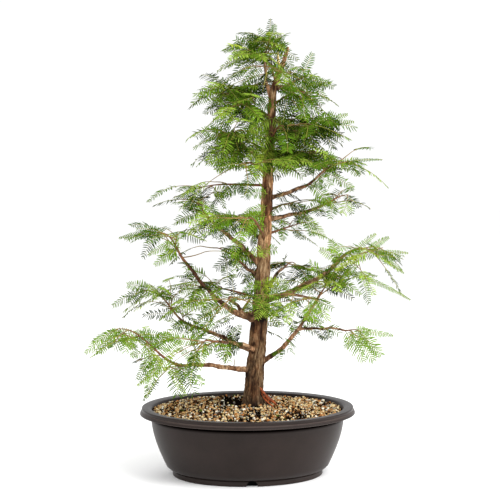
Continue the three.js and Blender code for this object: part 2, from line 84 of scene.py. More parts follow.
# Each limb: parent, place, azimuth, reach, rise, the slopes it leaves and arrives with, radii.
LIMBS = {
    "low_left_bough": ("trunk", 154, 192, 98, 14, 12, 6, 4.2, 2.6),
    "second_left_bough": ("trunk", 182, 158, 108, 38, 20, 16, 3.8, 2.2),
    "elbow_bough": ("trunk", 233, 196, 34, 9, 10, 24, 7.4, 4.6),
    "elbow_left_bough": ("elbow_bough", 1, 184, 78, 77, 36, 49, 3.6, 2.2),
    "elbow_front_bough": ("elbow_bough", 0.7, 240, 44, 26, 40, 20, 3.0, 1.8),
    "middle_left_bough": ("trunk", 290, 142, 44, 30, 34, 34, 3.4, 1.8),
    "long_left_bough": ("trunk", 312, 168, 78, 67, 40, 40, 4.2, 2.2),
    "low_right_bough": ("trunk", 162, 336, 96, 104, 28, 60, 3.6, 2.0),
    "low_right_side_bough": ("low_right_bough", 0.62, 334, 70, 2, 6, -10, 2.0, 1.3),
    "main_right_bough": ("trunk", 258, 348, 120, 66, 18, 50, 4.6, 2.4),
    "high_right_bough": ("trunk", 382, 14, 96, 22, 6, 22, 3.4, 1.9),
    "arched_right_bough": ("trunk", 413, 340, 79, 34, 16, 46, 3.2, 1.8),
    "back_low_bough": ("trunk", 205, 80, 76, 26, 18, 12, 3.6, 2.0),
    "back_right_bough": ("trunk", 268, 62, 86, 34, 24, 12, 3.4, 1.9),
    "back_left_bough": ("trunk", 345, 108, 78, 30, 22, 16, 3.4, 1.9),
    "front_low_bough": ("trunk", 184, 232, 104, 26, 22, 6, 3.2, 1.8),
    "crown_left_bough": ("trunk", 470, 190, 54, 30, 14, 38, 3.6, 2.0),
    "crown_right_bough": ("trunk", 497, 346, 50, 11, 16, 0, 3.0, 1.8),
    "upper_left_bough": ("trunk", 532, 162, 50, 28, 24, 36, 3.0, 1.6),
    "top_right_bough": ("trunk", 574, 8, 42, 18, 20, 26, 2.4, 1.4),
    "second_leader": ("trunk", 560, 168, 11, 62, 66, 88, 3.0, 1.9),
}

# Each mass: parent, place, azimuth, reach, rise, leaving and arriving slopes, side twigs, their
# length and tilt, leaf scale, seed.
MASSES = {
    "low_left_foliage": ("low_left_bough", 1, 197, 110, 58, 0, -24, 6, 46, -12, 1, 14),
    "second_left_foliage": ("second_left_bough", 1, 164, 64, 50, 0, 0, 6, 42, 4, 1, 6),
    "elbow_left_foliage": ("elbow_left_bough", 1, 180, 36, 44, 0, 10, 5, 38, -2, 0.95, 4),
    "elbow_front_foliage": ("elbow_front_bough", 1, 270, 54, 8, 0, -12, 3, 34, -8, 1, 14),
    "inner_left_foliage": ("trunk", 262, 154, 96, 14, 14, -6, 4, 36, 0, 1, 40),
    "middle_left_foliage": ("middle_left_bough", 1, 156, 40, 18, 0, 4, 4, 34, -4, 1, 15),
    "long_left_foliage": ("long_left_bough", 1, 168, 28, 30, 0, 24, 4, 36, -2, 0.9, 16),
    "thin_left_foliage": ("trunk", 433, 162, 112, -6, -2, -18, 4, 34, -4, 0.9, 17),
    "low_right_foliage": ("low_right_bough", 1, 10, 16, 22, 0, 50, 4, 28, 8, 0.9, 18),
    "low_right_side_foliage": ("low_right_side_bough", 1, 336, 22, 0, 0, -30, 4, 26, -14, 0.9, 19),
    "main_right_foliage": ("main_right_bough", 1, 350, 48, 8, 0, -46, 6, 40, -20, 1, 2),
    "short_right_foliage": ("trunk", 359, 22, 66, 17, 12, 10, 3, 26, 0, 1, 21),
    "inner_right_foliage": ("trunk", 392, 50, 66, 12, 14, -8, 3, 30, -2, 1, 41),
    "high_right_foliage": ("high_right_bough", 1, 12, 34, 14, 0, 2, 3, 34, 6, 0.9, 22),
    "arched_right_foliage": ("arched_right_bough", 1, 346, 34, 18, 0, 10, 4, 36, 2, 0.9, 23),
    "back_low_foliage": ("back_low_bough", 1, 84, 36, 6, 0, -12, 4, 42, -8, 1, 24),
    "back_right_foliage": ("back_right_bough", 1, 58, 40, 8, 0, -12, 4, 40, -8, 1, 25),
    "back_left_foliage": ("back_left_bough", 1, 112, 42, 10, 0, -10, 4, 38, -6, 1, 26),
    "front_low_foliage": ("front_low_bough", 1, 250, 68, 6, 0, -14, 5, 36, -4, 1, 27),
    "front_right_foliage": ("trunk", 262, 304, 124, 8, 16, -12, 5, 40, -4, 1, 39),
    "front_high_foliage": ("trunk", 352, 252, 118, 32, 28, -12, 5, 36, -8, 1, 28),
    "crown_left_foliage": ("crown_left_bough", 1, 200, 10, 8, 0, 0, 5, 30, 6, 0.75, 29),
    "crown_right_foliage": ("crown_right_bough", 1, 344, 24, 10, 0, 10, 5, 34, 6, 0.85, 30),
    "upper_left_foliage": ("upper_left_bough", 1, 176, 16, 10, 0, 4, 4, 30, 4, 0.85, 33),
    "top_left_foliage": ("trunk", 602, 184, 38, 22, 30, 10, 5, 30, 0, 0.8, 42),
    "top_right_foliage": ("top_right_bough", 1, 10, 10, 6, 0, 20, 3, 20, 6, 0.7, 35),
    "top_foliage": ("second_leader", 1, 20, 6, 20, 0, 84, 5, 22, -6, 0.8, 37),
}
CROWN = {"count": 9, "heights": (446, 586), "first": 230, "turn": 137.5, "reach": (66, 42),
         "rise": (18, 20), "leave": 26, "arrive": -14, "twigs": 4, "span": (42, 30), "tilt": -10,
         "leaf": (0.95, 0.8), "seed": 60}
STEM = {"root": 2.2, "tip": 0.55, "bare": 0.3, "room": 118, "lumps": (0.06, 40)}
TWIG = {"first": 0.6, "spare": 0.3, "fan": (74, 44), "shrink": (1.1, 0.7), "follow": 0.4,
        "fork": 0.4, "open": 54, "stalk": 7, "aside": 0.84,
        "vary": {"place": 0.3, "fan": 24, "slope": 44, "length": 0.35, "open": 20}}
FROND = {"length": 64, "droop": 0.24, "follow": 0.8, "dip": 4,
         "vary": {"azimuth": 20, "slope": 26, "length": 0.24, "roll": 70}}
STEEP = 0.9
REACH = 4  # how far a rib may pass the frame's box
CLEAR = {"trunk": 2, "pot": 4, "grit": 6}  # how far a rib keeps from each
FRONT = 270  # the azimuth of the trunk's side that faces the camera

# ---------------------------------------------------------------- sizes of the finer growth

# A spray is one branchlet with its two ranks of needles.
SPRAY = {
    "length": 52,
    "bare": 3,
    "pairs": 5,  # at least
    "pitch": (2.7, 3.7),
    "sparse": 0.8,
    "needle": 15.5,
    "width": 1.75,
    "droop": (0.12, 0.45),
    "swerve": 0.14,
    "lean": (8, 48),
    "rachis": (0.6, 0.3),
    "differ": (0.85, 1.1),
    "hang": (0, 0.4),
}
# A needle: its outline as (share of its length, share of its width), how needles shorten to both ends
# of a spray, and how they differ.
NEEDLE = {
    "outline": ((0.06, 0.35), (0.3, 1.0), (0.72, 0.85), (1.0, 0.12)),
    "slim": 0.25,
    "rise": (0.5, 2.6),
    "fall": (1.1, 0.72, 0.3),
    "vary": (0.88, 1.08),
    "lean": 5,
    "lift": (0.05, 0.1),
    "hang": 0.6,
    "twist": 0.35,
    "bend": (0.02, 0.2),
    "curl": 0.1,
}
MOST_TRIANGLES = 190000  # in one piece
# Where the sprays of a shoot stand: pairs along its twig and on along its frond.
BRANCH = {"first": 0.25, "bare": (6, 4), "pitch": 18, "last": 0.36, "open": 60, "taper": 0.3,
          "roll": 0.7, "tip": -0.12, "end": (1.05, 1.35), "bow": (-0.05, 0.07), "twig": (0.95, 0.45),
          "slim": 0.3,
          "vary": {"place": (-2, 2), "length": (0.75, 1.15), "open": 9, "hang": (0.7, 0.9), "roll": 30}}
# How a mass is leaved: the share of its side sprays that grow, how far they hang, how shaded they are
# and the size of their needles. A mass has a row of its own or that of its name's first word.
Habit = namedtuple("Habit", "keep hang shade needle")
HABIT = {
    "crown": (0.9, 0.35, 0.42, 0.95),
    "crown_foliage_4": (0.45, 0.25, 0.75, 0.95),
    "crown_foliage_9": (0.35, 0.2, 0.4, 0.9),
    "crown_left_foliage": (0.5, 0.35, 0.4, 0.9),
    "upper": (0.75, 0.3, 0.32, 0.9),
    "top": (0.8, 0.1, 0.08, 0.75),
    "back": (0.4, 0.12, 0.6, 0.8),
    "thin": (0.3, 0.1, 0.6, 0.7),
    "low_left_foliage": (0.3, 0.05, 0.36, 0.7),
    "second": (0.4, 0.1, 0.26, 0.8),
    "elbow": (0.45, 0.1, 0.32, 0.8),
    "elbow_front_foliage": (0.25, 0.1, 0.4, 0.7),
    "inner": (0.3, 0.1, 0.3, 0.8),
    "middle": (0.4, 0.1, 0.5, 0.9),
    "long": (0.45, 0.1, 0.5, 0.85),
    "low_right_foliage": (0.25, 0.1, 0.45, 0.8),
    "low_right_side_foliage": (0.12, 0.2, 0.2, 0.7),
    "main": (0.38, 0.15, 0.36, 0.7),
    "short": (0.15, 0.1, 0.45, 0.7),
    "high": (0.35, 0.1, 0.42, 0.75),
    "arched": (0.45, 0.12, 0.45, 0.8),
    "front_low_foliage": (0.3, 0.15, 0.4, 0.65),
    "front_right_foliage": (0.2, 0.1, 0.2, 0.7),
    "front_high_foliage": (0.2, 0.1, 0.4, 0.85),
}
# How far the middle of a mass's stem is pulled down by what it carries.
SAG = {"low_left_foliage": 16}
# How much darker a spray is beside the trunk than one "out" millimetres away, and how much it varies.
SHADE = {"inner": 0.4, "out": 110, "vary": 0.3}
# Where the camera at EYE sees open sky, and where it sees bare wood: ovals in the plane y = 0, each
# with the x and z of its middle and half its width and height. What lies mostly in one isn't grown.
EYE = np.array([-125.4, -1635.2, 420.0])
SKY = {
    "left_of_tip": (-38, 682, 30, 16),
    "right_of_top": (116, 612, 26, 20),
    "under_crown": (-38, 446, 58, 15),
    "right_of_crown": (146, 482, 21, 14),
    "right_middle": (152, 369, 44, 20),
    "beside_trunk": (63, 342, 20, 18),
    "far_right": (190, 392, 26, 13),
    "right_end": (191, 314, 24, 12),
    "under_main_right": (139, 242, 22, 26),
    "over_low_right": (124, 184, 30, 24),
    "left_of_crown": (-104, 505, 20, 75),
    "left_high": (-121, 393, 30, 11),
    "left_middle": (-67, 329, 28, 23),
    "left_under_elbow": (-190, 325, 38, 32),
    "right_of_fans": (228, 166, 27, 27),
    "left_of_fans": (138, 163, 18, 24),
    "far_left": (-208, 278, 27, 20),
    "bottom_left": (-197, 145, 44, 36),
    "under_low_right": (186, 140, 52, 22),
    "round_foot": (3, 165, 22, 70),
    "over_second_left": (-174, 297, 21, 10),
    "over_low_left": (-182, 231, 22, 11),
    "at_elbow": (-8, 236, 28, 13),
    "left_of_foot": (-48, 160, 26, 22),
}
BARE = {
    "trunk_in_crown": (34, 535, 12, 50),
    "trunk_under_crown": (33, 432, 15, 24),
    "trunk_middle": (29, 385, 16, 36),
}
OPEN_SHARE = {"spray": 0.4, "shoot": 0.25}  # how much of a spray or a shoot may lie in such an oval
BEHIND = 4  # beyond this y, the wood hides what lies in a bare oval, and it grows
# Sprays that stand along the boughs: how far on they begin, how far apart, and the share kept.
ALONG = {"first": 0.3, "pitch": 12, "keep": 0.4, "open": 66, "length": 34,
         "habit": Habit(keep=1, hang=0.1, shade=0.5, needle=0.75),
         "vary": {"roll": 30, "open": 12, "turn": 40, "length": (0.7, 1.3)}}
# Tufts that spring from old wood: how their sprays differ, then each one's parent, place, azimuth,
# slope, sprays, their length and shade.
TUFT = {"azimuth": (-75, 75), "slope": (-45, 40), "length": (0.75, 1.2), "roll": (-90, 90),
        "needle": 0.85}
TUFTS = [
    ("trunk", 478, 312, -10, 6, 46, 0.1),
    ("trunk", 505, 258, -20, 4, 46, 0.1),
    ("crown_left_bough", 0.9, 255, -30, 6, 46, 0.1),
    ("trunk", 374, 205, 0, 5, 34, 0.1),
    ("long_left_bough", 0.35, 240, -40, 5, 38, 0.2),
    ("elbow_left_foliage", 0.3, 250, 40, 7, 28, -0.1),
    ("second_left_bough", 0.95, 240, 10, 5, 36, 0.3),
    ("main_right_bough", 0.75, 280, 10, 5, 34, 0.35),
    ("low_right_bough", 0.75, 300, 0, 4, 34, 0.3),
]
# How a flat spray droops, from what length on it hangs in an arch, and how little it varies.
FLAT = {"droop": 0.14, "arch": 0.003, "straight": 50, "swerve": 0.4, "vary": 0.35}
# Single sprays that show their flat side, by what carries them: place, azimuth, slope, length, needle
# size and shade.
FRONDS = [
    ("trunk", [
        (284, 336, 10, 42, 0.7, -0.5), (284, 330, -6, 46, 0.75, -0.1), (284, 312, 22, 34, 0.7, -0.8),
        (284, 334, -28, 42, 0.7, 0.4), (284, 214, -6, 36, 0.65, 0.3), (284, 222, 14, 30, 0.65, -0.1),
        (284, 284, -10, 26, 0.7, -0.8), (262, 214, -12, 34, 0.65, 0.2), (262, 226, -40, 34, 0.7, -0.5),
        (262, 250, -56, 30, 0.7, -0.2), (262, 306, -52, 32, 0.7, -0.6), (262, 328, -46, 44, 0.7, -0.4),
        (262, 336, -28, 42, 0.7, 0.2), (338, 218, -10, 26, 0.6, -0.5), (338, 262, -22, 22, 0.6, -0.4),
        (338, 322, 8, 22, 0.6, -0.3), (420, 214, 4, 44, 0.65, 0.2), (402, 212, -14, 48, 0.65, 0.1),
        (386, 214, 6, 42, 0.65, 0.1), (372, 218, -4, 40, 0.7, 0.0),
    ]),
    ("thin_left_foliage", [(0.3, 204, -14, 44, 0.65, 0.2), (0.1, 210, 10, 40, 0.65, 0.3)]),
    ("high_right_bough", [
        (0.5, 342, -26, 52, 0.65, -0.1), (0.8, 338, -30, 44, 0.4, 0.2), (0.7, 350, 34, 40, 0.7, 0.2),
    ]),
    ("arched_right_foliage", [(0.9, 356, 12, 66, 0.24, 0.3), (0.2, 345, -20, 50, 0.7, 0.0)]),
    ("arched_right_bough", [(0.8, 340, -36, 46, 0.7, 0.1)]),
    ("second_left_bough", [
        (0.2, 140, 16, 36, 0.6, 0.7), (0.35, 150, 30, 36, 0.6, 0.6), (0.6, 200, -50, 34, 0.75, -0.1),
        (0.4, 40, 44, 34, 0.7, -0.1),
    ]),
    ("second_left_foliage", [(0.1, 190, -34, 40, 0.7, 0.1)]),
    ("inner_left_foliage", [
        (0.7, 200, -50, 44, 0.9, -0.2), (0.95, 205, -40, 42, 0.85, -0.1),
        (0.45, 215, -48, 38, 0.8, 0.0),
    ]),
    ("elbow_left_bough", [(0.5, 196, -30, 44, 0.8, 0.1), (0.3, 200, -36, 38, 0.75, 0.2)]),
    ("main_right_bough", [(0.97, 150, 66, 36, 0.6, 0.2), (1, 172, 26, 36, 0.6, 0.1)]),
    ("main_right_foliage", [
        (0.3, 40, 66, 44, 0.6, 0.2), (0.6, 70, 50, 34, 0.6, 0.2), (0.15, 20, 58, 40, 0.6, 0.4),
        (0.5, 10, 44, 40, 0.38, 0.45), (0.8, 5, 34, 40, 0.38, 0.45),
    ]),
    ("trunk", [
        (486, 232, -46, 48, 0.95, -0.5), (492, 256, -64, 40, 0.95, -0.7),
        (492, 290, -60, 42, 0.95, -0.7), (492, 318, -46, 50, 0.95, -0.6),
        (490, 302, -40, 52, 0.95, -0.7), (490, 246, -36, 52, 0.95, -0.6),
        (494, 330, -22, 60, 0.9, -0.5), (494, 216, -26, 58, 0.9, -0.4), (512, 326, -34, 62, 0.9, 0.1),
        (512, 222, -30, 60, 0.9, -0.3), (524, 204, -14, 58, 0.95, 0.1), (560, 206, -22, 48, 0.9, 0.1),
        (550, 198, -10, 46, 0.9, 0.2), (548, 336, 10, 50, 0.9, 0.2), (516, 200, -4, 62, 0.9, 0.2),
        (532, 318, -24, 56, 0.85, -0.4), (532, 226, -20, 50, 0.85, -0.3),
        (482, 334, -30, 60, 0.9, -0.3),
    ]),
    ("crown_left_bough", [
        (0.98, 184, -28, 46, 0.95, -0.4), (0.7, 190, -34, 50, 0.95, -0.3),
        (0.5, 215, -50, 46, 0.95, 0.0), (0.3, 235, -58, 48, 0.95, 0.1), (0.8, 120, 30, 50, 0.9, -0.1),
        (1, 176, 24, 50, 0.9, 0.2), (1, 165, 46, 46, 0.9, 0.3),
    ]),
    ("crown_right_bough", [(1, 350, 40, 56, 0.8, 0.3), (0.8, 10, 52, 58, 0.8, 0.3)]),
    ("top_right_bough", [(0.8, 352, -34, 52, 0.7, 0.2)]),
    ("crown_right_bough", [(0.7, 340, -44, 54, 0.9, -0.3), (0.3, 320, -58, 50, 0.95, -0.3)]),
    ("top_foliage", [
        (1, 10, 83, 40, 0.5, 0.4), (1, 355, 72, 34, 0.5, 0.3), (1, 170, 62, 30, 0.5, 0.35),
        (1, 5, 40, 26, 0.5, 0.3), (0.8, 176, 34, 38, 0.6, 0.5), (0.55, 182, 24, 34, 0.6, 0.4),
        (0.7, 8, 30, 30, 0.6, 0.3), (0.9, 4, 42, 26, 0.55, 0.4), (0.4, 350, 20, 30, 0.6, 0.3),
    ]),
    ("top_left_foliage", [
        (1, 178, 46, 40, 0.95, 0.5), (1, 186, 16, 38, 0.8, 0.4), (0.6, 170, 52, 36, 0.7, 0.5),
    ]),
    ("top_right_bough", [
        (1, 12, 66, 46, 0.7, 0.4), (0.5, 30, 60, 34, 0.7, 0.5), (1, 345, -30, 50, 0.6, 0.3),
        (1, 352, -6, 46, 0.55, 0.3),
    ]),
    ("crown_right_foliage", [(0.8, 352, 34, 54, 0.5, 0.2), (0.9, 350, 20, 56, 0.45, 0.3)]),
    ("upper_left_bough", [
        (0.4, 205, -42, 50, 0.95, 0.0), (1, 165, 30, 54, 0.8, 0.2), (1, 150, 52, 48, 0.8, 0.4),
    ]),
    ("elbow_left_foliage", [
        (1, 178, 4, 62, 0.36, 0.45), (0.8, 182, 5, 64, 0.36, 0.45), (0.9, 184, 24, 44, 0.5, 0.3),
        (0.35, 200, -24, 40, 0.55, 0.2), (0.6, 186, -30, 40, 0.45, 0.3),
    ]),
    ("low_left_foliage", [
        (1, 188, -24, 56, 0.55, 0.25), (0.97, 178, -42, 44, 0.55, 0.2), (0.88, 60, 24, 28, 0.55, 0.3),
        (0.78, 110, 40, 28, 0.55, 0.3), (0.66, 80, 42, 30, 0.6, 0.25), (0.85, 230, -62, 30, 0.9, 0.3),
        (0.93, 220, -58, 32, 0.9, 0.35), (0.7, 172, 16, 44, 0.6, 0.3), (0.55, 150, 44, 36, 0.6, 0.35),
        (0.45, 140, 56, 36, 0.7, 0.2), (0.5, 30, 50, 36, 0.7, 0.1), (0.45, 20, 36, 40, 0.7, 0.3),
        (0.6, 10, 20, 38, 0.7, 0.2), (0.75, 0, 4, 38, 0.65, 0.2), (0.62, 300, -62, 34, 0.75, 0.15),
        (0.35, 30, 44, 38, 0.7, 0.0), (0.48, 184, -10, 38, 0.6, 0.25), (0.36, 190, -28, 36, 0.6, 0.3),
        (0.42, 196, -70, 62, 0.68, 0.1), (0.3, 335, -64, 54, 0.62, 0.0), (0.14, 345, -60, 46, 1.1, 0.4),
        (0.2, 300, -80, 46, 1.05, 0.45),
    ]),
    ("low_left_bough", [
        (0.9, 160, 44, 40, 0.6, 0.4), (0.55, 30, 34, 34, 0.6, 0.5), (0.4, 160, 40, 36, 0.55, 0.5),
    ]),
    ("main_right_foliage", [(1, 352, 8, 52, 0.32, 0.4), (1, 345, -28, 50, 0.3, 0.4)]),
    ("main_right_bough", [(0.86, 349, -10, 116, 0.32, 0.4), (0.8, 330, -24, 58, 0.6, 0.1)]),
    ("low_right_side_foliage", [
        (0.1, 336, -54, 50, 0.85, 0.2), (0.5, 342, -50, 52, 0.85, 0.15), (1, 344, -42, 46, 0.8, 0.25),
        (0.8, 350, -8, 54, 0.42, 0.35), (0.6, 30, 4, 34, 0.5, 0.2),
    ]),
    ("low_right_side_bough", [
        (0.75, 330, -40, 36, 0.6, 0.3), (0.5, 350, 24, 34, 0.6, 0.3), (0.35, 320, -50, 34, 0.7, 0.1),
        (0.1, 335, 30, 36, 0.5, 0.2),
    ]),
]

# Bare twig ends: their bend and taper, then each one's parent, place, azimuth, slope, length, radius.
STUB = {"bend": (0.06, 5), "taper": 0.4}
STUBS = [
    ("main_right_foliage", 0.1, 354, 15, 60, 1.2),
    ("main_right_bough", 0.98, 20, 34, 28, 1.1),
    ("main_right_bough", 0.7, 350, 8, 40, 0.9),
    ("second_left_bough", 0.74, 130, 70, 10, 1.8),
    ("second_left_foliage", 0.5, 100, 80, 22, 0.9),
    ("low_left_bough", 0.34, 60, 76, 14, 0.9),
    ("top_right_bough", 0.9, 8, 24, 16, 1.0),
    ("upper_left_bough", 0.7, 100, 80, 14, 0.9),
    ("elbow_bough", 0.85, 330, 62, 30, 2.4),
]

# Colours are sRGB triples of eight bits. A spray's tint goes by its shade, from the palest on.
# The tints run from lit to shaded greens, painted light and shade: darker beside the trunk and on the
# masses at the back, paler on top.
TINTS = {
    "young": (152, 172, 56),
    "bright": (134, 160, 58),
    "fresh": (104, 134, 38),
    "leaf": (74, 104, 24),
    "deep": (48, 70, 15),
    "shade": (28, 41, 10),
}
TINT_STEPS = (-0.5, -0.12, 0.16, 0.46, 0.74)
WHITE = (255, 255, 255)
# Bark: the colours of its fibre, of its warmer patches and of its cracks, and how bright its foot is.
# The crack colour is laid on as painted shade.
BARKS = {
    "trunk_bark": {
        "fibre": ((0.36, (100, 78, 57)), (0.5, (182, 143, 103)), (0.64, (244, 214, 172))),
        "cast": (226, 184, 156),
        "crack": (112, 90, 76),
        "foot": 0.465,
    },
    "bough_bark": {
        "fibre": ((0.36, (94, 72, 56)), (0.5, (170, 138, 108)), (0.64, (222, 194, 160))),
        "cast": (236, 204, 178),
        "crack": (112, 90, 78),
        "foot": 1.0,
    },
}
# How bark brightens from its darker foot: shares of the way between two heights, and of the way to
# full. The brightening up the trunk is painted light that makes up for the crown's shade; near the top
# it darkens again.
BRIGHTENING = {
    "heights": (100, 600),
    "colour": (255, 253, 252),
    "shares": (
        (0.0, 0.0), (0.12, 0.23), (0.43, 0.45), (0.5, 0.81), (0.6, 1.0), (0.84, 1.0), (0.92, 0.62)),
}
# The dark and the light streaks of young and broken wood.
STREAKS = {
    "rachis_green": ((92, 112, 36), (156, 146, 58)),
    "young_bark": ((84, 52, 34), (132, 88, 56)),
    "twig_bark": ((104, 78, 44), (148, 122, 64)),
    "cut_wood": ((200, 170, 104), (240, 222, 160)),
    "root_bark": ((84, 36, 18), (172, 86, 40)),
}


# ---------------------------------------------------------------- numbers and directions

def mix(a, b, t):
    return a + (b - a) * t


def unit(v):
    return v / np.maximum(np.linalg.norm(v, axis=-1, keepdims=True), 1e-9)


def seeded(seed):
    """The source's repeatable stream of numbers from 0 to 1."""
    word = 0xFFFFFFFF
    state = [seed & word]

    def draw():
        state[0] = (state[0] + 0x6D2B79F5) & word
        t = state[0]
        t = ((t ^ (t >> 15)) * (t | 1)) & word
        t ^= (t + (((t ^ (t >> 7)) * (t | 61)) & word)) & word
        return ((t ^ (t >> 14)) & word) / 2**32

    return draw


def bearing(azimuth, slope):
    """The unit vector of a compass azimuth and a slope above level, both in degrees."""
    turn, lift = math.radians(azimuth), math.radians(slope)
    return np.array([math.cos(lift) * math.cos(turn), math.cos(lift) * math.sin(turn), math.sin(lift)])


def azimuth_of(v):
    return math.degrees(math.atan2(v[1], v[0]))


def slope_of(v):
    return math.degrees(math.atan2(v[2], math.hypot(v[0], v[1])))


def turned(v, axis, angle):
    """v turned about a unit axis by an angle in degrees."""
    c, s = math.cos(math.radians(angle)), math.sin(math.radians(angle))
    return v * c + np.cross(axis, v) * s + axis * (axis @ v) * (1 - c)


def side_of(forward, roll):
    """A level direction square to a heading, turned about the heading by a roll in degrees."""
    level = BACK if forward[2] ** 2 > STEEP else np.cross(UP, forward)
    return turned(unit(level), forward, roll)


class Line:
    """A line that sets off along a heading and arrives on an azimuth at a slope."""

    def __init__(self, foot, heading, azimuth, reach, rise, arrive):
        end = foot + bearing(azimuth, 0) * reach + UP * rise
        hold = LIMB["hold"] * math.hypot(reach, rise)
        before = end - bearing(azimuth, arrive) * hold
        self.knots = np.array([foot, foot + heading * hold, before, end])

    def at(self, t):
        t = np.asarray(t, float)[..., None]
        a, b, c, d = self.knots
        return a * (1 - t) ** 3 + 3 * b * (1 - t) ** 2 * t + 3 * c * (1 - t) * t**2 + d * t**3

    def along(self, t):
        t = np.asarray(t, float)[..., None]
        a, b, c, d = self.knots
        return unit((b - a) * (1 - t) ** 2 + 2 * (c - b) * (1 - t) * t + (d - c) * t**2)

    def length(self):
        steps = np.diff(self.at(np.linspace(0, 1, 25)), axis=0)
        return float(np.linalg.norm(steps, axis=1).sum())


def eased(t):
    return t * t * (3 - 2 * t)


def noise(u, v, cells, seed):
    """Smooth noise from -1 to 1. u goes once round, from 0 to 1, and v runs from 0 to 1."""
    around, along = cells
    lattice = np.random.default_rng(seed).uniform(-1, 1, (around, along + 2))
    x, y = (u % 1) * around, np.clip(v, 0, 1) * along
    i, j = np.floor(x).astype(int), np.floor(y).astype(int)
    across, up = eased(x - i), eased(y - j)
    i, k = i % around, (i + 1) % around
    low = mix(lattice[i, j], lattice[k, j], across)
    high = mix(lattice[i, j + 1], lattice[k, j + 1], across)
    return mix(low, high, up)


# ---------------------------------------------------------------- meshes

def put(name, data):
    made = bpy.data.objects.new(name, data)
    bpy.context.scene.collection.objects.link(made)
    return made


def add_mesh(name, points, faces, material, slot, replaces=(), smooth=True, relief=None):
    """A piece of the part from points in millimetres and faces that all have the same corners."""
    points, faces = np.asarray(points, float).reshape(-1, 3), np.asarray(faces, np.int32)
    mesh = bpy.data.meshes.new(name)
    count, corners = faces.shape
    mesh.vertices.add(len(points))
    mesh.vertices.foreach_set("co", (points * MM).astype(np.float32).ravel())
    mesh.loops.add(count * corners)
    mesh.loops.foreach_set("vertex_index", faces.ravel())
    mesh.polygons.add(count)
    mesh.polygons.foreach_set("loop_start", np.arange(0, count * corners, corners, dtype=np.int32))
    mesh.update(calc_edges=True)
    if smooth:
        mesh.shade_smooth()
    else:
        mesh.shade_flat()
    if relief is not None:
        # The "relief" attribute carries the painted shade of the bark's cracks and furrows.
        layer = mesh.attributes.new("relief", "FLOAT", "POINT")
        layer.data.foreach_set("value", np.asarray(relief, np.float32).ravel())
    mesh.materials.append(material)
    piece = put(name, mesh)
    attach(piece, "root")
    if replaces:
        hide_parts(*replaces)
    return piece


def grid_faces(rings, sides):
    """Quads between neighbouring rings of a closed tube."""
    r, k = np.meshgrid(np.arange(rings - 1), np.arange(sides), indexing="ij")
    a, b = r * sides + k, r * sides + (k + 1) % sides
    return np.stack([a, b, b + sides, a + sides], -1).reshape(-1, 4)


def cap_faces(ring, sides, centre, flip=False):
    """A fan, as quads that repeat their centre, across the ring that starts at a vertex."""
    k = np.arange(0, sides, 2)
    middle = np.full(len(k), centre)
    fan = [middle, ring + k, ring + (k + 1) % sides, ring + (k + 2) % sides]
    return np.stack(fan[::-1] if flip else fan, -1)


def frames(points):
    """Tangent, side and up at each point of lines given as (..., points, 3)."""
    along = unit(np.gradient(points, axis=-2))
    steep = np.abs(along[..., 2]).mean(-1)[..., None, None] > STEEP
    side = unit(np.cross(np.where(steep, ACROSS, UP), along))
    return along, side, np.cross(along, side)


def spokes(side, up, sides):
    """Unit vectors round a line, turned from its side by way of its up."""
    turn = np.arange(sides)[:, None] / sides * 2 * np.pi
    return side[..., None, :] * np.cos(turn) + up[..., None, :] * np.sin(turn)


def tubes(points, radii, sides):
    """Vertices and quads of many tubes at once: points (n, steps, 3), radii (n, steps)."""
    count, steps, _ = points.shape
    _, side, up = frames(points)
    ring = points[:, :, None] + spokes(side, up, sides) * radii[:, :, None, None]
    faces = grid_faces(steps, sides)
    offsets = np.arange(count)[:, None, None] * steps * sides
    return ring.reshape(-1, 3), (faces[None] + offsets).reshape(-1, 4)


# ---------------------------------------------------------------- materials

def linear(colour):
    c = np.array(colour, float) / 255
    return (*np.where(c <= 0.04045, c / 12.92, ((c + 0.055) / 1.055) ** 2.4), 1.0)


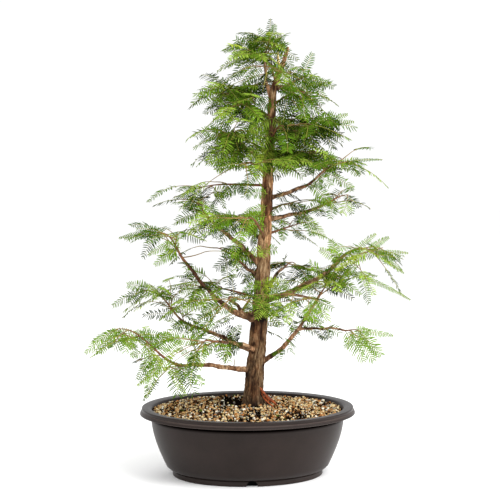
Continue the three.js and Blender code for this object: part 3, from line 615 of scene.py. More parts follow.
class Finish:
    """A procedural material that is put together node by node."""

    def __init__(self, name, roughness, specular=0.5):
        self.made = bpy.data.materials.new(name)
        self.made.use_nodes = True
        self.tree = self.made.node_tree
        self.shader = self.tree.nodes["Principled BSDF"]
        self.shader.inputs["Roughness"].default_value = roughness
        self.shader.inputs["Specular IOR Level"].default_value = specular
        self.place = self.tree.nodes.new("ShaderNodeTexCoord").outputs["Object"]

    def link(self, source, target):
        self.tree.links.new(source, target)

    def node(self, kind, inputs, **settings):
        """A node with its settings. Its inputs are numbers or other nodes' outputs."""
        node = self.tree.nodes.new("ShaderNode" + kind)
        for key, value in settings.items():
            setattr(node, key, value)
        for key, value in inputs.items():
            if isinstance(value, bpy.types.NodeSocket):
                self.link(value, node.inputs[key])
            else:
                node.inputs[key].default_value = value
        return node

    def stretched(self, scale):
        return self.node("Mapping", {"Vector": self.place, "Scale": scale}).outputs["Vector"]

    def noise(self, scale, detail=4, vector=None, roughness=0.6):
        place = self.place if vector is None else vector
        inputs = {"Vector": place, "Scale": scale, "Detail": detail, "Roughness": roughness}
        return self.node("TexNoise", inputs).outputs["Fac"]

    def attribute(self, name):
        return self.node("Attribute", {}, attribute_name=name).outputs["Fac"]

    def height(self, low, high):
        """0 to 1 between two heights in millimetres."""
        parts = self.node("SeparateXYZ", {"Vector": self.place})
        return self.spread(parts.outputs["Z"], low * MM, high * MM)

    def outward(self, half_length, half_depth):
        """How far from the Z axis a place lies: 1 on an oval of that half length and half depth."""
        oval = self.stretched((1 / (half_length * MM), 1 / (half_depth * MM), 0))
        return self.node("VectorMath", {"Vector": oval}, operation="LENGTH").outputs["Value"]

    def ramp(self, value, *stops):
        """A colour for a value: stops are (position, sRGB triple)."""
        node = self.node("ValToRGB", {"Fac": value})
        band = node.color_ramp
        while len(band.elements) < len(stops):
            band.elements.new(1.0)
        for element, (position, colour) in zip(band.elements, stops):
            element.position = position
            element.color = linear(colour)
        return node.outputs["Color"]

    def levels(self, value, *stops):
        """A grey for a value: stops are (position, level from 0 to 255)."""
        return self.ramp(value, *[(position, (level, level, level)) for position, level in stops])

    def spread(self, value, low, high, to=(0.0, 1.0)):
        inputs = {"Value": value, "From Min": low, "From Max": high, "To Min": to[0], "To Max": to[1]}
        return self.node("MapRange", inputs).outputs["Result"]

    def blend(self, share, a, b, kind="MIX"):
        inputs = {"Factor": share, "A": a, "B": b}
        return self.node("Mix", inputs, data_type="RGBA", blend_type=kind).outputs["Result"]

    def times(self, a, b, share=1.0):
        return self.blend(share, a, b, "MULTIPLY")

    def colour(self, value):
        self.link(value, self.shader.inputs["Base Color"])

    def rough(self, value, low, high):
        self.link(self.spread(value, 0.3, 0.7, (low, high)), self.shader.inputs["Roughness"])

    def bump(self, value, distance, strength=1.0):
        node = self.node("Bump", {"Height": value, "Distance": distance, "Strength": strength})
        self.link(node.outputs["Normal"], self.shader.inputs["Normal"])


def shaded(colour, share):
    return tuple(min(c * share, 255) for c in colour)


def bark_finish(name):
    """Fibrous bark: patches and short streaks along Z, with painted shade in its cracks, darker at the
    foot and with painted light up the trunk.
    """
    bark = BARKS[name]
    f = Finish(name, 0.85, 0.2)
    streaks = f.noise(1.0, 6, f.stretched((330, 330, 80)), 0.7)
    patches = f.noise(1.0, 3, f.stretched((70, 70, 26)))
    blots = f.noise(1.0, 2, f.stretched((46, 46, 18)))
    cast = f.ramp(patches, (0.42, (255, 250, 240)), (0.6, bark["cast"]))
    stains = f.ramp(blots, (0.4, (132, 120, 112)), (0.5, WHITE))
    # Painted shade, read from the "relief" attribute: cracks, furrows and the hollows under the trunk's
    # limbs.
    depth = f.ramp(f.attribute("relief"), (0.25, bark["crack"]), (0.85, WHITE))
    # Painted light by height, over a darker foot.
    rise = BRIGHTENING
    stops = [(at, shaded(rise["colour"], mix(bark["foot"], 1, share))) for at, share in rise["shares"]]
    brightness = f.ramp(f.height(*rise["heights"]), *stops)
    skin = f.times(f.ramp(streaks, *bark["fibre"]), cast, 0.8)
    for layer in (stains, depth, brightness):
        skin = f.times(skin, layer)
    f.colour(skin)
    f.rough(patches, 0.75, 0.95)
    f.bump(streaks, 0.001, 0.7)
    return f.made


def needle_finish(name, colour):
    f = Finish(name, 0.6, 0.0)
    mottle = f.noise(240, 2)
    f.colour(f.ramp(mottle, (0.35, shaded(colour, 0.86)), (0.62, shaded(colour, 1.1))))
    f.rough(mottle, 0.5, 0.7)
    return f.made


def twig_finish(name):
    dark, light = STREAKS[name]
    f = Finish(name, 0.7, 0.3)
    streaks = f.noise(160, 4)
    f.colour(f.ramp(streaks, (0.35, dark), (0.65, light)))
    f.rough(streaks, 0.6, 0.85)
    f.bump(f.noise(900, 3), 0.0004, 0.5)
    return f.made


def pot_finish():
    """Dark brown plastic with faint dust and a paler worn foot ring, with painted highlight lines on
    the lip and painted shade under the lip and inside the foot ring.
    """
    f = Finish("pot_plastic", 0.4, 0.2)
    cloud, speck = f.noise(14, 4), f.noise(900, 2)
    tone = f.ramp(cloud, (0.35, (32, 24, 21)), (0.65, (41, 32, 29)))
    dust = f.levels(speck, (0.4, 236), (0.7, 255))
    # A pale colour for the worn foot ring and for the painted highlight lines on the lip.
    edge = f.ramp(cloud, (0.3, (58, 48, 45)), (0.7, (74, 64, 60)))
    height = f.height(80, 104)
    # Painted shade under the lip: the wall darkens up to the lip's underside.
    painted_shade_under_lip = f.levels(height, (0.1, 255), (0.27, 70), (0.47, 36), (0.51, 255))
    # Painted highlights: pale lines at the lip's lower edge and at its step.
    lip_highlight_lines = f.levels(
        height, (0.49, 0), (0.51, 255), (0.55, 0), (0.64, 0), (0.665, 255), (0.7, 255), (0.74, 0))
    ring = f.levels(f.height(0, 20), (0.38, 110), (0.44, 0))
    # Painted shade inside the foot ring: its inner wall and the recess under the pot, seen through the
    # notches.
    within = FOOT["outer"] - 2
    out = f.spread(f.outward(within, within - OVAL), 0.98, 1.0)
    under = f.ramp(out, (0.0, (40, 38, 36)), (1.0, WHITE))
    shell = f.times(f.times(tone, dust, 0.6), painted_shade_under_lip)
    shell = f.blend(ring, f.blend(lip_highlight_lines, shell, edge), edge)
    f.colour(f.times(shell, under))
    # Reflections fade with the painted shade under the lip.
    f.link(f.spread(painted_shade_under_lip, 0.2, 1.0, (0.0, 0.16)), f.shader.inputs["Specular IOR Level"])
    f.rough(cloud, 0.32, 0.42)
    f.bump(speck, 0.00025, 0.35)
    return f.made


def stone_finish(name, colour):
    f = Finish(name, 0.9, 0.0)
    grain = f.noise(700, 4)
    f.colour(f.ramp(grain, (0.3, shaded(colour, 0.7)), (0.55, colour), (0.75, shaded(colour, 1.15))))
    f.rough(grain, 0.75, 0.95)
    f.bump(grain, 0.0005, 0.6)
    return f.made


# ---------------------------------------------------------------- trunk and limbs

def trunk_at(z):
    """Centres and radii of the trunk at heights."""
    z = np.asarray(z, float)
    (bx, by), (lx, ly), bow = TRUNK["base"], TRUNK["lean"], TRUNK["bow"]
    fork, (tx, ty, tz), curl, girth = TRUNK["fork"], TRUNK["tip"], TRUNK["curl"], TRUNK["girth"]
    t = np.minimum((z - GRIT["top"]) / (fork - GRIT["top"]), 1)
    x, y = bx + lx * t + bow * np.sin(np.pi * t), by + ly * t
    u = np.clip((z - fork) / (tz - fork), 0, 1)
    x = mix(x, tx, mix(u, eased(u), curl))
    y = mix(y, ty, u)
    radius = np.where(z <= fork, mix(girth[0], girth[1], t), mix(girth[1], girth[2], u))
    return np.stack([x, y, z], -1), radius


BARK = {
    "sides": 150,
    "step": 1.25,
    "sunk": 6,
    "twist": 0.3,
    "wander": 0.05,
    # Cracks wind between plates: cells round and along, depth, and how sharp they are. Deeper cracks
    # get darker painted shade.
    "plates": ((11, 14, 1.5, 0.1), (24, 40, 0.8, 0.13)),
    # the depth at which a crack's painted shade is full
    "deepest": 2.8,
    # Raised strips of fibre: cells round and along, height.
    "strips": ((34, 26, 0.5), (60, 110, 0.35)),
    "fine": 2.5,  # how sharply a strip stands off
    # how much paler the raised strips are: painted light
    "pale": 0.12,
    "lumps": (0.9, (3, 18), 9),  # height, cells round and along, seed
    "swell": 0.4,
    "least": 0.3,  # the share of its relief that bark keeps where the trunk thins out
}
# Knots: height, azimuth, width and how far each stands out.
KNOTS = [
    (150, 200, 7, 2.4),
    (196, 236, 6, 1.8),
    (232, 300, 6, 1.6),
    (300, 190, 5, 1.4),
    (170, 318, 5, 1.6),
]
# A knot's pit and its dark eye, each as strength and narrowness. The hollow under a limb: its depth,
# which also sets how dark its painted shadow is, and how far below the limb and how wide it is, in the
# limb's radii.
KNOT = {"pit": (1.1, 2.6), "eye": (0.8, 1.8), "hollow": 0.8, "below": 1.5, "wide": 1.3}


def bark_relief(turn, v, seed=1):
    """How far bark stands out in millimetres, and how dark it is, on a stretched skin: painted shade in
    its cracks and painted light on its raised strips.
    """
    warped = turn + BARK["twist"] * v + BARK["wander"] * noise(turn, v, (5, 30), seed)
    relief, dark = 0 * v, 0 * v
    for i, (cells, along, depth, sharp) in enumerate(BARK["plates"]):
        crack = np.exp(-((noise(warped, v, (cells, along), seed + 1 + i) / sharp) ** 2))
        relief -= depth * crack
        dark += depth / BARK["deepest"] * crack
    for i, (cells, along, height) in enumerate(BARK["strips"]):
        strip = np.tanh(BARK["fine"] * noise(warped, v, (cells, along), seed + 5 + i))
        relief += height * strip
        dark -= BARK["pale"] * strip
    return relief, np.clip(dark, 0, 1)


def hollows_under_limbs():
    """Where the trunk is sunken under a limb, with painted shadow: height, azimuth and width."""
    marks = []
    for parent, place, azimuth, _, _, leave, _, root, _ in LIMBS.values():
        if parent == "trunk" and place < TRUNK["fork"]:
            _, radius = trunk_at(place)
            height = place + radius * math.tan(math.radians(leave)) - KNOT["below"] * root
            marks.append((height, azimuth, KNOT["wide"] * root))
    return marks


def skin_distance(turn, z, radius, azimuth, height):
    """How far places on the trunk's skin are from one at an azimuth and a height."""
    across = (turn * 360 - azimuth + 180) % 360 - 180
    return np.hypot(np.radians(across) * radius, z - height)


def knots_and_hollows(turn, z, radius):
    """How far knots and hollows move the trunk's skin out or in, and how dark they make it: the knots'
    dark eyes, and painted shadow under the limbs.
    """
    moved, dark = 0 * turn + 0 * z, 0 * turn + 0 * z
    pit, eye = KNOT["pit"], KNOT["eye"]
    for height, azimuth, width, lift in KNOTS:
        far = skin_distance(turn, z, radius, azimuth, height) / width
        moved += lift * (np.exp(-far**2) - pit[0] * np.exp(-(far * pit[1]) ** 2))
        dark += eye[0] * np.exp(-(far * eye[1]) ** 2)
    for height, azimuth, width in hollows_under_limbs():
        far = skin_distance(turn, z, radius, azimuth, height) / width
        moved -= KNOT["hollow"] * np.exp(-far**2)
        dark += KNOT["hollow"] * np.exp(-far**2)
    return moved, dark


def root_flare(angle, z):
    """How much wider the trunk is at its foot, as a share of its radius."""
    lobe = 1 - FLARE["depth"] + FLARE["depth"] * np.cos(FLARE["lobes"] * angle + FLARE["turn"])
    return FLARE["spread"] * np.exp(-np.maximum(z - GRIT["top"], 0) / FLARE["fade"]) * lobe


def trunk_piece(material):
    """The trunk with its furrowed, fibrous bark and its knots."""
    foot, top, sides = GRIT["top"] - BARK["sunk"], TRUNK["tip"][2], BARK["sides"]
    steps = int((top - foot) / BARK["step"])
    z = np.linspace(foot, top, steps)[:, None]
    turn = (np.arange(sides) / sides)[None]
    centre, radius = trunk_at(z[:, 0])
    radius = radius[:, None]
    v = (z - foot) / (top - foot) + 0 * turn
    relief, dark = bark_relief(turn, v)
    moved, knot_eyes_and_painted_shadow = knots_and_hollows(turn, z, radius)
    size = radius / TRUNK["girth"][0]
    lump, cells, seed = BARK["lumps"]
    rough = (lump * noise(turn, v, cells, seed) + relief) * mix(BARK["least"], 1, size)
    r = radius * (1 + root_flare(turn * 2 * np.pi, z)) + rough + moved + BARK["swell"] * size
    points = (centre[:, None] + spokes(ACROSS, BACK, sides) * r[..., None]).reshape(-1, 3)
    points = np.vstack([points, centre[-1] + UP * 0.6])
    cap = cap_faces((steps - 1) * sides, sides, len(points) - 1)
    faces = np.vstack([grid_faces(steps, sides), cap])
    # Painted shade for the "relief" attribute: the cracks, the knots' dark eyes and the shadow under
    # the limbs.
    depth = np.append(np.clip(1 - (dark + knot_eyes_and_painted_shadow).ravel(), 0, 1), 0.8)
    return add_mesh("trunk_bark", points, faces, material, "bark", ["trunk"], relief=depth)


def grow_limbs():
    """Every limb's line by its name, as the source grows it."""
    lines = {}
    for name, (parent, place, azimuth, reach, rise, leave, arrive, _, _) in LIMBS.items():
        lines[name] = Line(*root_on(lines, parent, place, azimuth, leave), azimuth, reach, rise, arrive)
    return lines


def root_on(lines, parent, place, azimuth, leave):
    """Where a limb or a stem starts, and its heading."""
    heading = bearing(azimuth, leave)
    if parent == "trunk":
        return trunk_at(place)[0], heading
    line = lines[parent]
    if place < 1:
        return line.at(place), heading
    onward = line.along(1)
    return line.at(1) + onward * GAP, onward


# A limb's skin: its slow and quick wander as size and waves, its ridges as height and cells round, how
# much its bark stands out, how pale it is (painted light on ridges, painted shade in furrows), and its
# nodes.
LIMB_SKIN = {
    "step": 1.5,
    "sides": (28, 20),
    "thick": 3.2,  # a limb with a larger radius has more sides
    "ease": 0.7,
    "sway": ((0.9, 9), (0.5, 21)),
    "lift": ((0.9, 8), (0.5, 19)),
    "ridges": ((0.6, 7), (0.35, 14)),
    "cell": 9,
    "wind": 0.2,
    "rough": 0.17,
    "pale": (0.6, 0.5),
    "collar": 1.6,
    "node": {"first": 0.08, "vary": 0.02, "pitch": 16, "length": 1.8, "swell": 0.16},
}


def wander(t, waves, phases):
    """A slight wander to one side that fades out at both ends."""
    ease = np.sin(np.pi * t) ** LIMB_SKIN["ease"]
    return ease * sum(size * np.sin(count * t + phase) for (size, count), phase in zip(waves, phases))


def limb_surface(line, root, tip, sides, seed):
    """Points and relief of one limb with ridged bark, nodes and a slight wander. Its relief is painted
    shade, darker in the furrows and paler on the ridges.
    """
    rng = np.random.default_rng(seed)
    skin, length = LIMB_SKIN, line.length()
    t = np.linspace(0, 1, max(int(length / skin["step"]), 8))
    path = line.at(t)
    _, side, up = frames(path)
    phase = rng.uniform(0, 2 * np.pi, 4)
    path = path + side * wander(t, skin["sway"], phase[:2])[:, None]
    path = path + up * wander(t, skin["lift"], phase[2:])[:, None]
    _, side, up = frames(path)
    turn = (np.arange(sides) / sides)[None]
    v = t[:, None] + 0 * turn
    cells = max(int(length / skin["cell"]), 4)
    (coarse, few), (fine, many) = skin["ridges"]
    relief = coarse * noise(turn + skin["wind"] * v, v, (few, cells), seed + 1)
    relief = relief + fine * noise(turn, v, (many, cells * 2), seed + 2)
    node, swollen = skin["node"], np.zeros_like(t)
    shift = rng.uniform(-node["vary"], node["vary"])
    for place in np.arange(node["first"], 1, node["pitch"] / length) + shift:
        swollen += np.exp(-(((t - place) * length) / node["length"]) ** 2)
    collar = LIMB["collar"] * skin["collar"] * np.exp(-t * LIMB["fade"])
    radius = mix(root, tip, t) * (1 + collar + node["swell"] * swollen)
    r = radius[:, None] * (1 + skin["rough"] * relief)
    points = path[:, None] + spokes(side, up, sides) * r[..., None]
    pale, paler = skin["pale"]
    return points, np.clip(pale + paler * relief, 0, 1)


def boughs_piece(lines, material):
    """All limbs joined into one piece, each closed at its tip."""
    points, faces, depth, offset = [], [], [], 0
    many, few = LIMB_SKIN["sides"]
    for i, (limb, line) in enumerate(lines.items()):
        root, tip = LIMBS[limb][-2:]
        sides = many if root > LIMB_SKIN["thick"] else few
        surface, relief = limb_surface(line, root, tip, sides, 100 + 7 * i)
        steps = len(surface)
        end = surface[-1].mean(0) + line.along(1) * tip * 0.5
        points += [surface.reshape(-1, 3), end[None]]
        faces.append(grid_faces(steps, sides) + offset)
        faces.append(cap_faces((steps - 1) * sides, sides, steps * sides) + offset)
        depth += [relief.ravel(), [0.7]]
        offset += steps * sides + 1
    points, faces, depth = np.vstack(points), np.vstack(faces), np.concatenate(depth)
    return add_mesh("boughs", points, faces, material, "bark", list(LIMBS), relief=depth)


# ---------------------------------------------------------------- growth

def draw_frond(azimuth, slope, scale, about):
    vary = FROND["vary"]
    return {
        "azimuth": azimuth + about(vary["azimuth"]),
        "slope": slope * FROND["follow"] - FROND["dip"] + about(vary["slope"]),
        "length": FROND["length"] * scale * (1 + about(vary["length"])),
        "roll": about(vary["roll"]),
    }


def draw_twig(root, azimuth, slope, length, leaf, side, about):
    end = root + bearing(azimuth, slope) * length
    fork = mix(root, end, TWIG["fork"])
    aside = azimuth + side * (TWIG["open"] + about(TWIG["vary"]["open"]))
    main = {"root": root, "end": end, "tuft": draw_frond(azimuth, slope, leaf, about)}
    stalk = fork + bearing(aside, slope) * TWIG["stalk"]
    tuft = draw_frond(aside, slope, leaf * TWIG["aside"], about)
    return [main, {"root": fork, "end": stalk, "tuft": tuft}]


def grow_mass(lines, row, sag=0):
    """The stem, shoots and ending of a mass, drawn number by number as the source draws them."""
    parent, place, azimuth, reach, rise, leave, arrive, twigs, span, tilt, leaf, seed = row
    draw = seeded(seed)

    def about(size):
        return size * (draw() - 0.5)

    vary = TWIG["vary"]
    stem = Line(*root_on(lines, parent, place, azimuth, leave), azimuth, reach, rise, arrive)
    stem.knots[1:3] -= UP * sag
    shoots = []
    for i in range(twigs):
        share = (i + TWIG["first"] + about(vary["place"])) / (twigs + TWIG["spare"])
        t = mix(STEM["bare"] if parent == "trunk" else 0, 1, share)
        side = 1 if i % 2 else -1
        along = stem.along(t)
        if rise > reach:
            heading = i * CROWN["turn"]
        else:
            heading = azimuth_of(along) + side * (mix(*TWIG["fan"], t) + about(vary["fan"]))
        slope = tilt + TWIG["follow"] * slope_of(along) + about(vary["slope"])
        length = span * mix(*TWIG["shrink"], t) * (1 + about(vary["length"]))
        shoots += draw_twig(stem.at(t), heading, slope, length, leaf, side, about)
    out = stem.along(1)
    ending = draw_frond(azimuth_of(out), slope_of(out), leaf, about)
    return stem, shoots, ending


def crown_masses():
    rows, c = {}, CROWN
    for i in range(c["count"]):
        t = i / (c["count"] - 1)
        azimuth, reach, rise = c["first"] + c["turn"] * i, mix(*c["reach"], t), mix(*c["rise"], t)
        rows[f"crown_foliage_{i + 1}"] = (
            "trunk", mix(*c["heights"], t), azimuth, reach, rise, c["leave"], c["arrive"], c["twigs"],
            mix(*c["span"], t), c["tilt"], mix(*c["leaf"], t), c["seed"] + i)
    return rows


def frond_at(start, tuft, s):
    forward = bearing(tuft["azimuth"], tuft["slope"])
    s = np.asarray(s, float)[..., None]
    return start + forward * s * tuft["length"] - UP * FROND["droop"] * tuft["length"] * s * s


def habit_of(mass):
    return Habit(*(HABIT.get(mass) or HABIT[mass.split("_")[0]]))


def inner_shade(place):
    """How much darker a spray is for standing close to the trunk."""
    centre, _ = trunk_at(np.clip(place[2], GRIT["top"], TRUNK["tip"][2]))
    far = math.hypot(*(place - centre)[:2])
    return SHADE["inner"] * max(0.5 - far / SHADE["out"], -0.5)


def arch_of(length):
    """How far a flat spray droops: a long one hangs in an arch."""
    return FLAT["droop"] + FLAT["arch"] * max(length - FLAT["straight"], 0)


def lies_in(ovals, rib, share):
    """True where more than a share of a rib lies in one of some ovals, as the camera sees it."""
    seen = EYE + (rib - EYE) * (EYE[1] / (EYE[1] - rib[:, 1]))[:, None]
    for x, z, wide, high in ovals.values():
        inside = np.hypot((seen[:, 0] - x) / wide, (seen[:, 2] - z) / high) < 1
        if inside.mean() > share:
            return True
    return False


def hides_wood(rib, share):
    return rib[:, 1].mean() <= BEHIND and lies_in(BARE, rib, share)


def opened(forward, roll, sign, angle):
    """A heading that opens from a shoot's by an angle in degrees, to one of its sides."""
    angle = math.radians(angle)
    return forward * math.cos(angle) + side_of(forward, roll) * sign * math.sin(angle)


class Growth:
    """Everything that the masses carry: tubes of wood and sprays of needles."""

    def __init__(self):
        self.tubes = {"stem": [], "twig": []}
        self.stems = {}
        self.sprays = []

    def add_spray(self, start, forward, roll, length, rng, habit, mass=None, flat=False, wanted=True):
        """Adds a spray that is wanted if it's in its place, and says whether it's added."""
        forward = unit(forward)
        if flat:
            side = turned(unit(np.cross(forward, EYE - start)), forward, roll)
            droop = arch_of(length)
        else:
            side = side_of(forward, roll)
            droop = rng.uniform(*SPRAY["droop"])
        shade = habit.shade + inner_shade(start + forward * length / 2)
        spray = {
            "start": start,
            "forward": forward,
            "side": side,
            "length": length,
            "droop": droop * math.hypot(forward[0], forward[1]),
            "swerve": rng.normal(0, SPRAY["swerve"]) * (FLAT["swerve"] if flat else 1),
            "needle": SPRAY["needle"] * habit.needle * rng.uniform(*SPRAY["differ"]),
            "hang": rng.uniform(*SPRAY["hang"]),
            "pitch": rng.uniform(*SPRAY["pitch"]) * max(math.sqrt(habit.needle), SPRAY["sparse"]),
            "shade": shade + rng.normal(0, SHADE["vary"]) * (FLAT["vary"] if flat else 1),
            "mass": mass,
        }
        if not wanted or not in_its_place(spray):
            return False
        self.sprays.append(spray)
        return True

    def add_pair(self, place, forward, tuft, length, rng, habit, mass, wanted):
        """Adds what grows of a pair of side sprays, and says whether any does."""
        vary, roll, grown = BRANCH["vary"], tuft["roll"] * BRANCH["roll"], False
        for sign in (-1, 1):
            keep, jitter = rng.uniform(), rng.normal(0, 1, 4)
            size = length * rng.uniform(*vary["length"])
            if keep > habit.keep:
                continue
            heading = opened(forward, roll, sign, BRANCH["open"] + vary["open"] * jitter[0])
            heading = heading - UP * habit.hang * (vary["hang"][0] + vary["hang"][1] * jitter[1])
            turn = roll + vary["roll"] * jitter[2]
            grown |= self.add_spray(place, heading, turn, size, rng, habit, mass, wanted=wanted)
        return grown

    def leaf_shoot(self, root, end, tuft, leaf, mass, rng):
        """A twig that runs on through its frond, with pairs of side sprays and one at its end."""
        habit = habit_of(mass)
        twig = float(np.linalg.norm(end - root))
        run = BRANCH["last"] * tuft["length"]
        bow = UP * rng.uniform(*BRANCH["bow"]) * twig

        def at(d):
            if d < twig:
                q = d / max(twig, 1e-6)
                return mix(root, end, q) + bow * 4 * q * (1 - q)
            return frond_at(end, tuft, (d - twig) / tuft["length"])

        reach, grown = twig + run, 0
        whole = np.array([at(d) for d in np.linspace(0, reach, 13)])
        wanted = not hides_wood(whole, OPEN_SHARE["shoot"])
        near, far = BRANCH["bare"]
        places = np.arange(max(twig * BRANCH["first"], near), reach - far, BRANCH["pitch"])
        for place in places + rng.uniform(*BRANCH["vary"]["place"], len(places)):
            forward = unit(at(place + 1) - at(place - 1))
            length = SPRAY["length"] * leaf * mix(1, 1 - BRANCH["taper"], place / reach)
            if self.add_pair(at(place), forward, tuft, length, rng, habit, mass, wanted):
                grown = place
        forward = unit(at(reach) - at(reach - 2))
        length = (tuft["length"] - run) * rng.uniform(*BRANCH["end"])
        habit = habit._replace(shade=habit.shade + BRANCH["tip"])
        if self.add_spray(at(reach), forward, tuft["roll"], length, rng, habit, mass, wanted=wanted):
            grown = reach
        if grown:
            path = np.array([at(d) for d in np.linspace(0, grown, 9)])
            (thick, thin), slim = BRANCH["twig"], BRANCH["slim"]
            self.tubes["twig"].append((path, np.linspace(thick * (1 - slim + slim * leaf), thin, 9)))
        return grown > 0

    def add_mass(self, lines, name, row):
        parent, leaf, seed = row[0], row[-2], row[-1]
        rng = np.random.default_rng(1000 + seed)
        stem, shoots, ending = grow_mass(lines, row, SAG.get(name, 0))
        self.stems[name] = stem
        chord = stem.at(1) - stem.at(0)
        feet = [0]
        for shoot in shoots:
            tip = frond_at(shoot["end"], shoot["tuft"], 1)
            share = np.clip((tip - stem.at(0)) @ chord / (chord @ chord), 0, 1)
            if np.linalg.norm(tip - stem.at(0) - chord * share) > STEM["room"]:
                continue
            if self.leaf_shoot(shoot["root"], shoot["end"], shoot["tuft"], leaf, name, rng):
                feet.append(np.linalg.norm(shoot["root"] - stem.at(0)) / np.linalg.norm(chord))
        if self.leaf_shoot(stem.at(1), stem.at(1) + stem.along(1) * 2, ending, leaf, name, rng):
            feet.append(1)
        root = STEM["root"] if parent == "trunk" else LIMBS[parent][-1]
        t = np.linspace(0, min(max(feet), 1), 16)
        lump, waves = STEM["lumps"]
        radii = mix(root, STEM["tip"], t) * (1 + lump * np.sin(waves * t))
        self.tubes["stem"].append((stem.at(t), radii))


def foot_on(wood, parent, place, azimuth):
    """Where a spray stands on a limb or a stem, or on one side of the trunk."""
    if parent != "trunk":
        return wood[parent].at(place)
    centre, radius = trunk_at(place)
    return centre + bearing(azimuth, 0) * radius


def grow_along(growth, lines, rng):
    """Sprays in two ranks along the boughs."""
    habit, vary = ALONG["habit"], ALONG["vary"]
    for line in lines.values():
        reach = line.length()
        for place in np.arange(ALONG["first"] * reach, reach, ALONG["pitch"]) / reach:
            forward, roll = line.along(place), rng.normal(0, vary["roll"])
            for sign in (-1, 1):
                keep, jitter = rng.uniform(), rng.normal(0, 1, 3)
                heading = opened(forward, roll, sign, ALONG["open"] + vary["open"] * jitter[0])
                length = ALONG["length"] * rng.uniform(*vary["length"])
                if keep < ALONG["keep"]:
                    turn = vary["turn"] * jitter[1]
                    growth.add_spray(line.at(place), heading, turn, length, rng, habit)


def grow_on_wood(growth, lines):
    """Sprays along the boughs, tufts on old wood, bare twig ends and single fronds."""
    rng = np.random.default_rng(4242)
    wood = {**lines, **growth.stems}
    grow_along(growth, lines, rng)
    for parent, place, azimuth, slope, count, length, shade in TUFTS:
        foot, habit = foot_on(wood, parent, place, azimuth), Habit(1, 0, shade, TUFT["needle"])
        for _ in range(count):
            turn, lift = rng.uniform(*TUFT["azimuth"]), rng.uniform(*TUFT["slope"])
            size, roll = length * rng.uniform(*TUFT["length"]), rng.uniform(*TUFT["roll"])
            growth.add_spray(foot, bearing(azimuth + turn, slope + lift), roll, size, rng, habit)
    s, (bend, waves) = np.linspace(0, 1, 9)[:, None], STUB["bend"]
    for parent, place, azimuth, slope, length, radius in STUBS:
        path = wood[parent].at(place) + bearing(azimuth, slope) * length * s
        path = path + UP * bend * length * np.sin(waves * s)
        growth.tubes["twig"].append((path, radius * (1 - STUB["taper"] * s[:, 0])))
    for parent, fronds in FRONDS:
        for place, azimuth, slope, length, needle, shade in fronds:
            foot, heading = foot_on(wood, parent, place, FRONT), bearing(azimuth, slope)
            growth.add_spray(foot, heading, 0, length, rng, Habit(1, 0, shade, needle), flat=True)


RIB = ("start", "forward", "side", "length", "droop", "swerve")
JUDGED = np.linspace(0.15, 1, 6)[:, None]  # the shares of a rib that have to be in their place


def rib_at(start, forward, side, length, droop, swerve, s):
    """Places along a spray's rib, which droops and swerves more and more."""
    return start + length * (forward * s + (side * swerve - UP * droop) * s * s)


def in_its_place(spray):
    """True where a spray keeps off trunk, pot, grit and open sky, and inside the frame's box."""
    rib = rib_at(*(spray[key] for key in RIB), JUDGED)
    centre, radius = trunk_at(np.clip(rib[:, 2], GRIT["top"], TRUNK["tip"][2]))
    off = np.hypot(*(rib - centre)[:, :2].T) > radius + CLEAR["trunk"]
    half = np.array([LIP["skirt"], LIP["skirt"] - OVAL]) + CLEAR["pot"]
    above = rib[:, 2] > POT_HEIGHT + CLEAR["grit"]
    beside = ((rib[:, :2] / half) ** 2).sum(1) > 1
    low, high = (np.array(corner) / MM for corner in cad_box)
    inside = (rib > low - REACH) & (rib < high + REACH)
    if not (off.all() and (above | beside).all() and inside.all()):
        return False
    return not (lies_in(SKY, rib, OPEN_SHARE["spray"]) or hides_wood(rib, OPEN_SHARE["spray"]))


def columns(sprays, *keys):
    """What sprays hold under some keys, each as rows of one or three numbers."""
    return [np.array([s[key] for s in sprays], float).reshape(len(sprays), -1) for key in keys]


def without(v, axis):
    """The unit vectors of what is square to a unit axis in v."""
    return unit(v - axis * (v * axis).sum(-1, keepdims=True))


def blades(foot, along, out, size, rng):
    """Points of flat, bent needles: four pairs of corners each, from the foot to the tip."""
    twist = rng.normal(0, NEEDLE["twist"], size.shape)
    blade = without(along, out)
    blade = blade * np.cos(twist) + np.cross(out, blade) * np.sin(twist)
    slim = NEEDLE["slim"]
    width = SPRAY["width"] / 2 * (1 - slim + slim * size / SPRAY["needle"])
    curl = along * NEEDLE["curl"] - UP * rng.uniform(*NEEDLE["bend"], size.shape)
    rows = [
        foot + size * (out * q + curl * q * q) + blade * width * w * turn
        for q, w in NEEDLE["outline"] for turn in (-1, 1)]
    return np.stack(rows, 1).reshape(-1, 3)


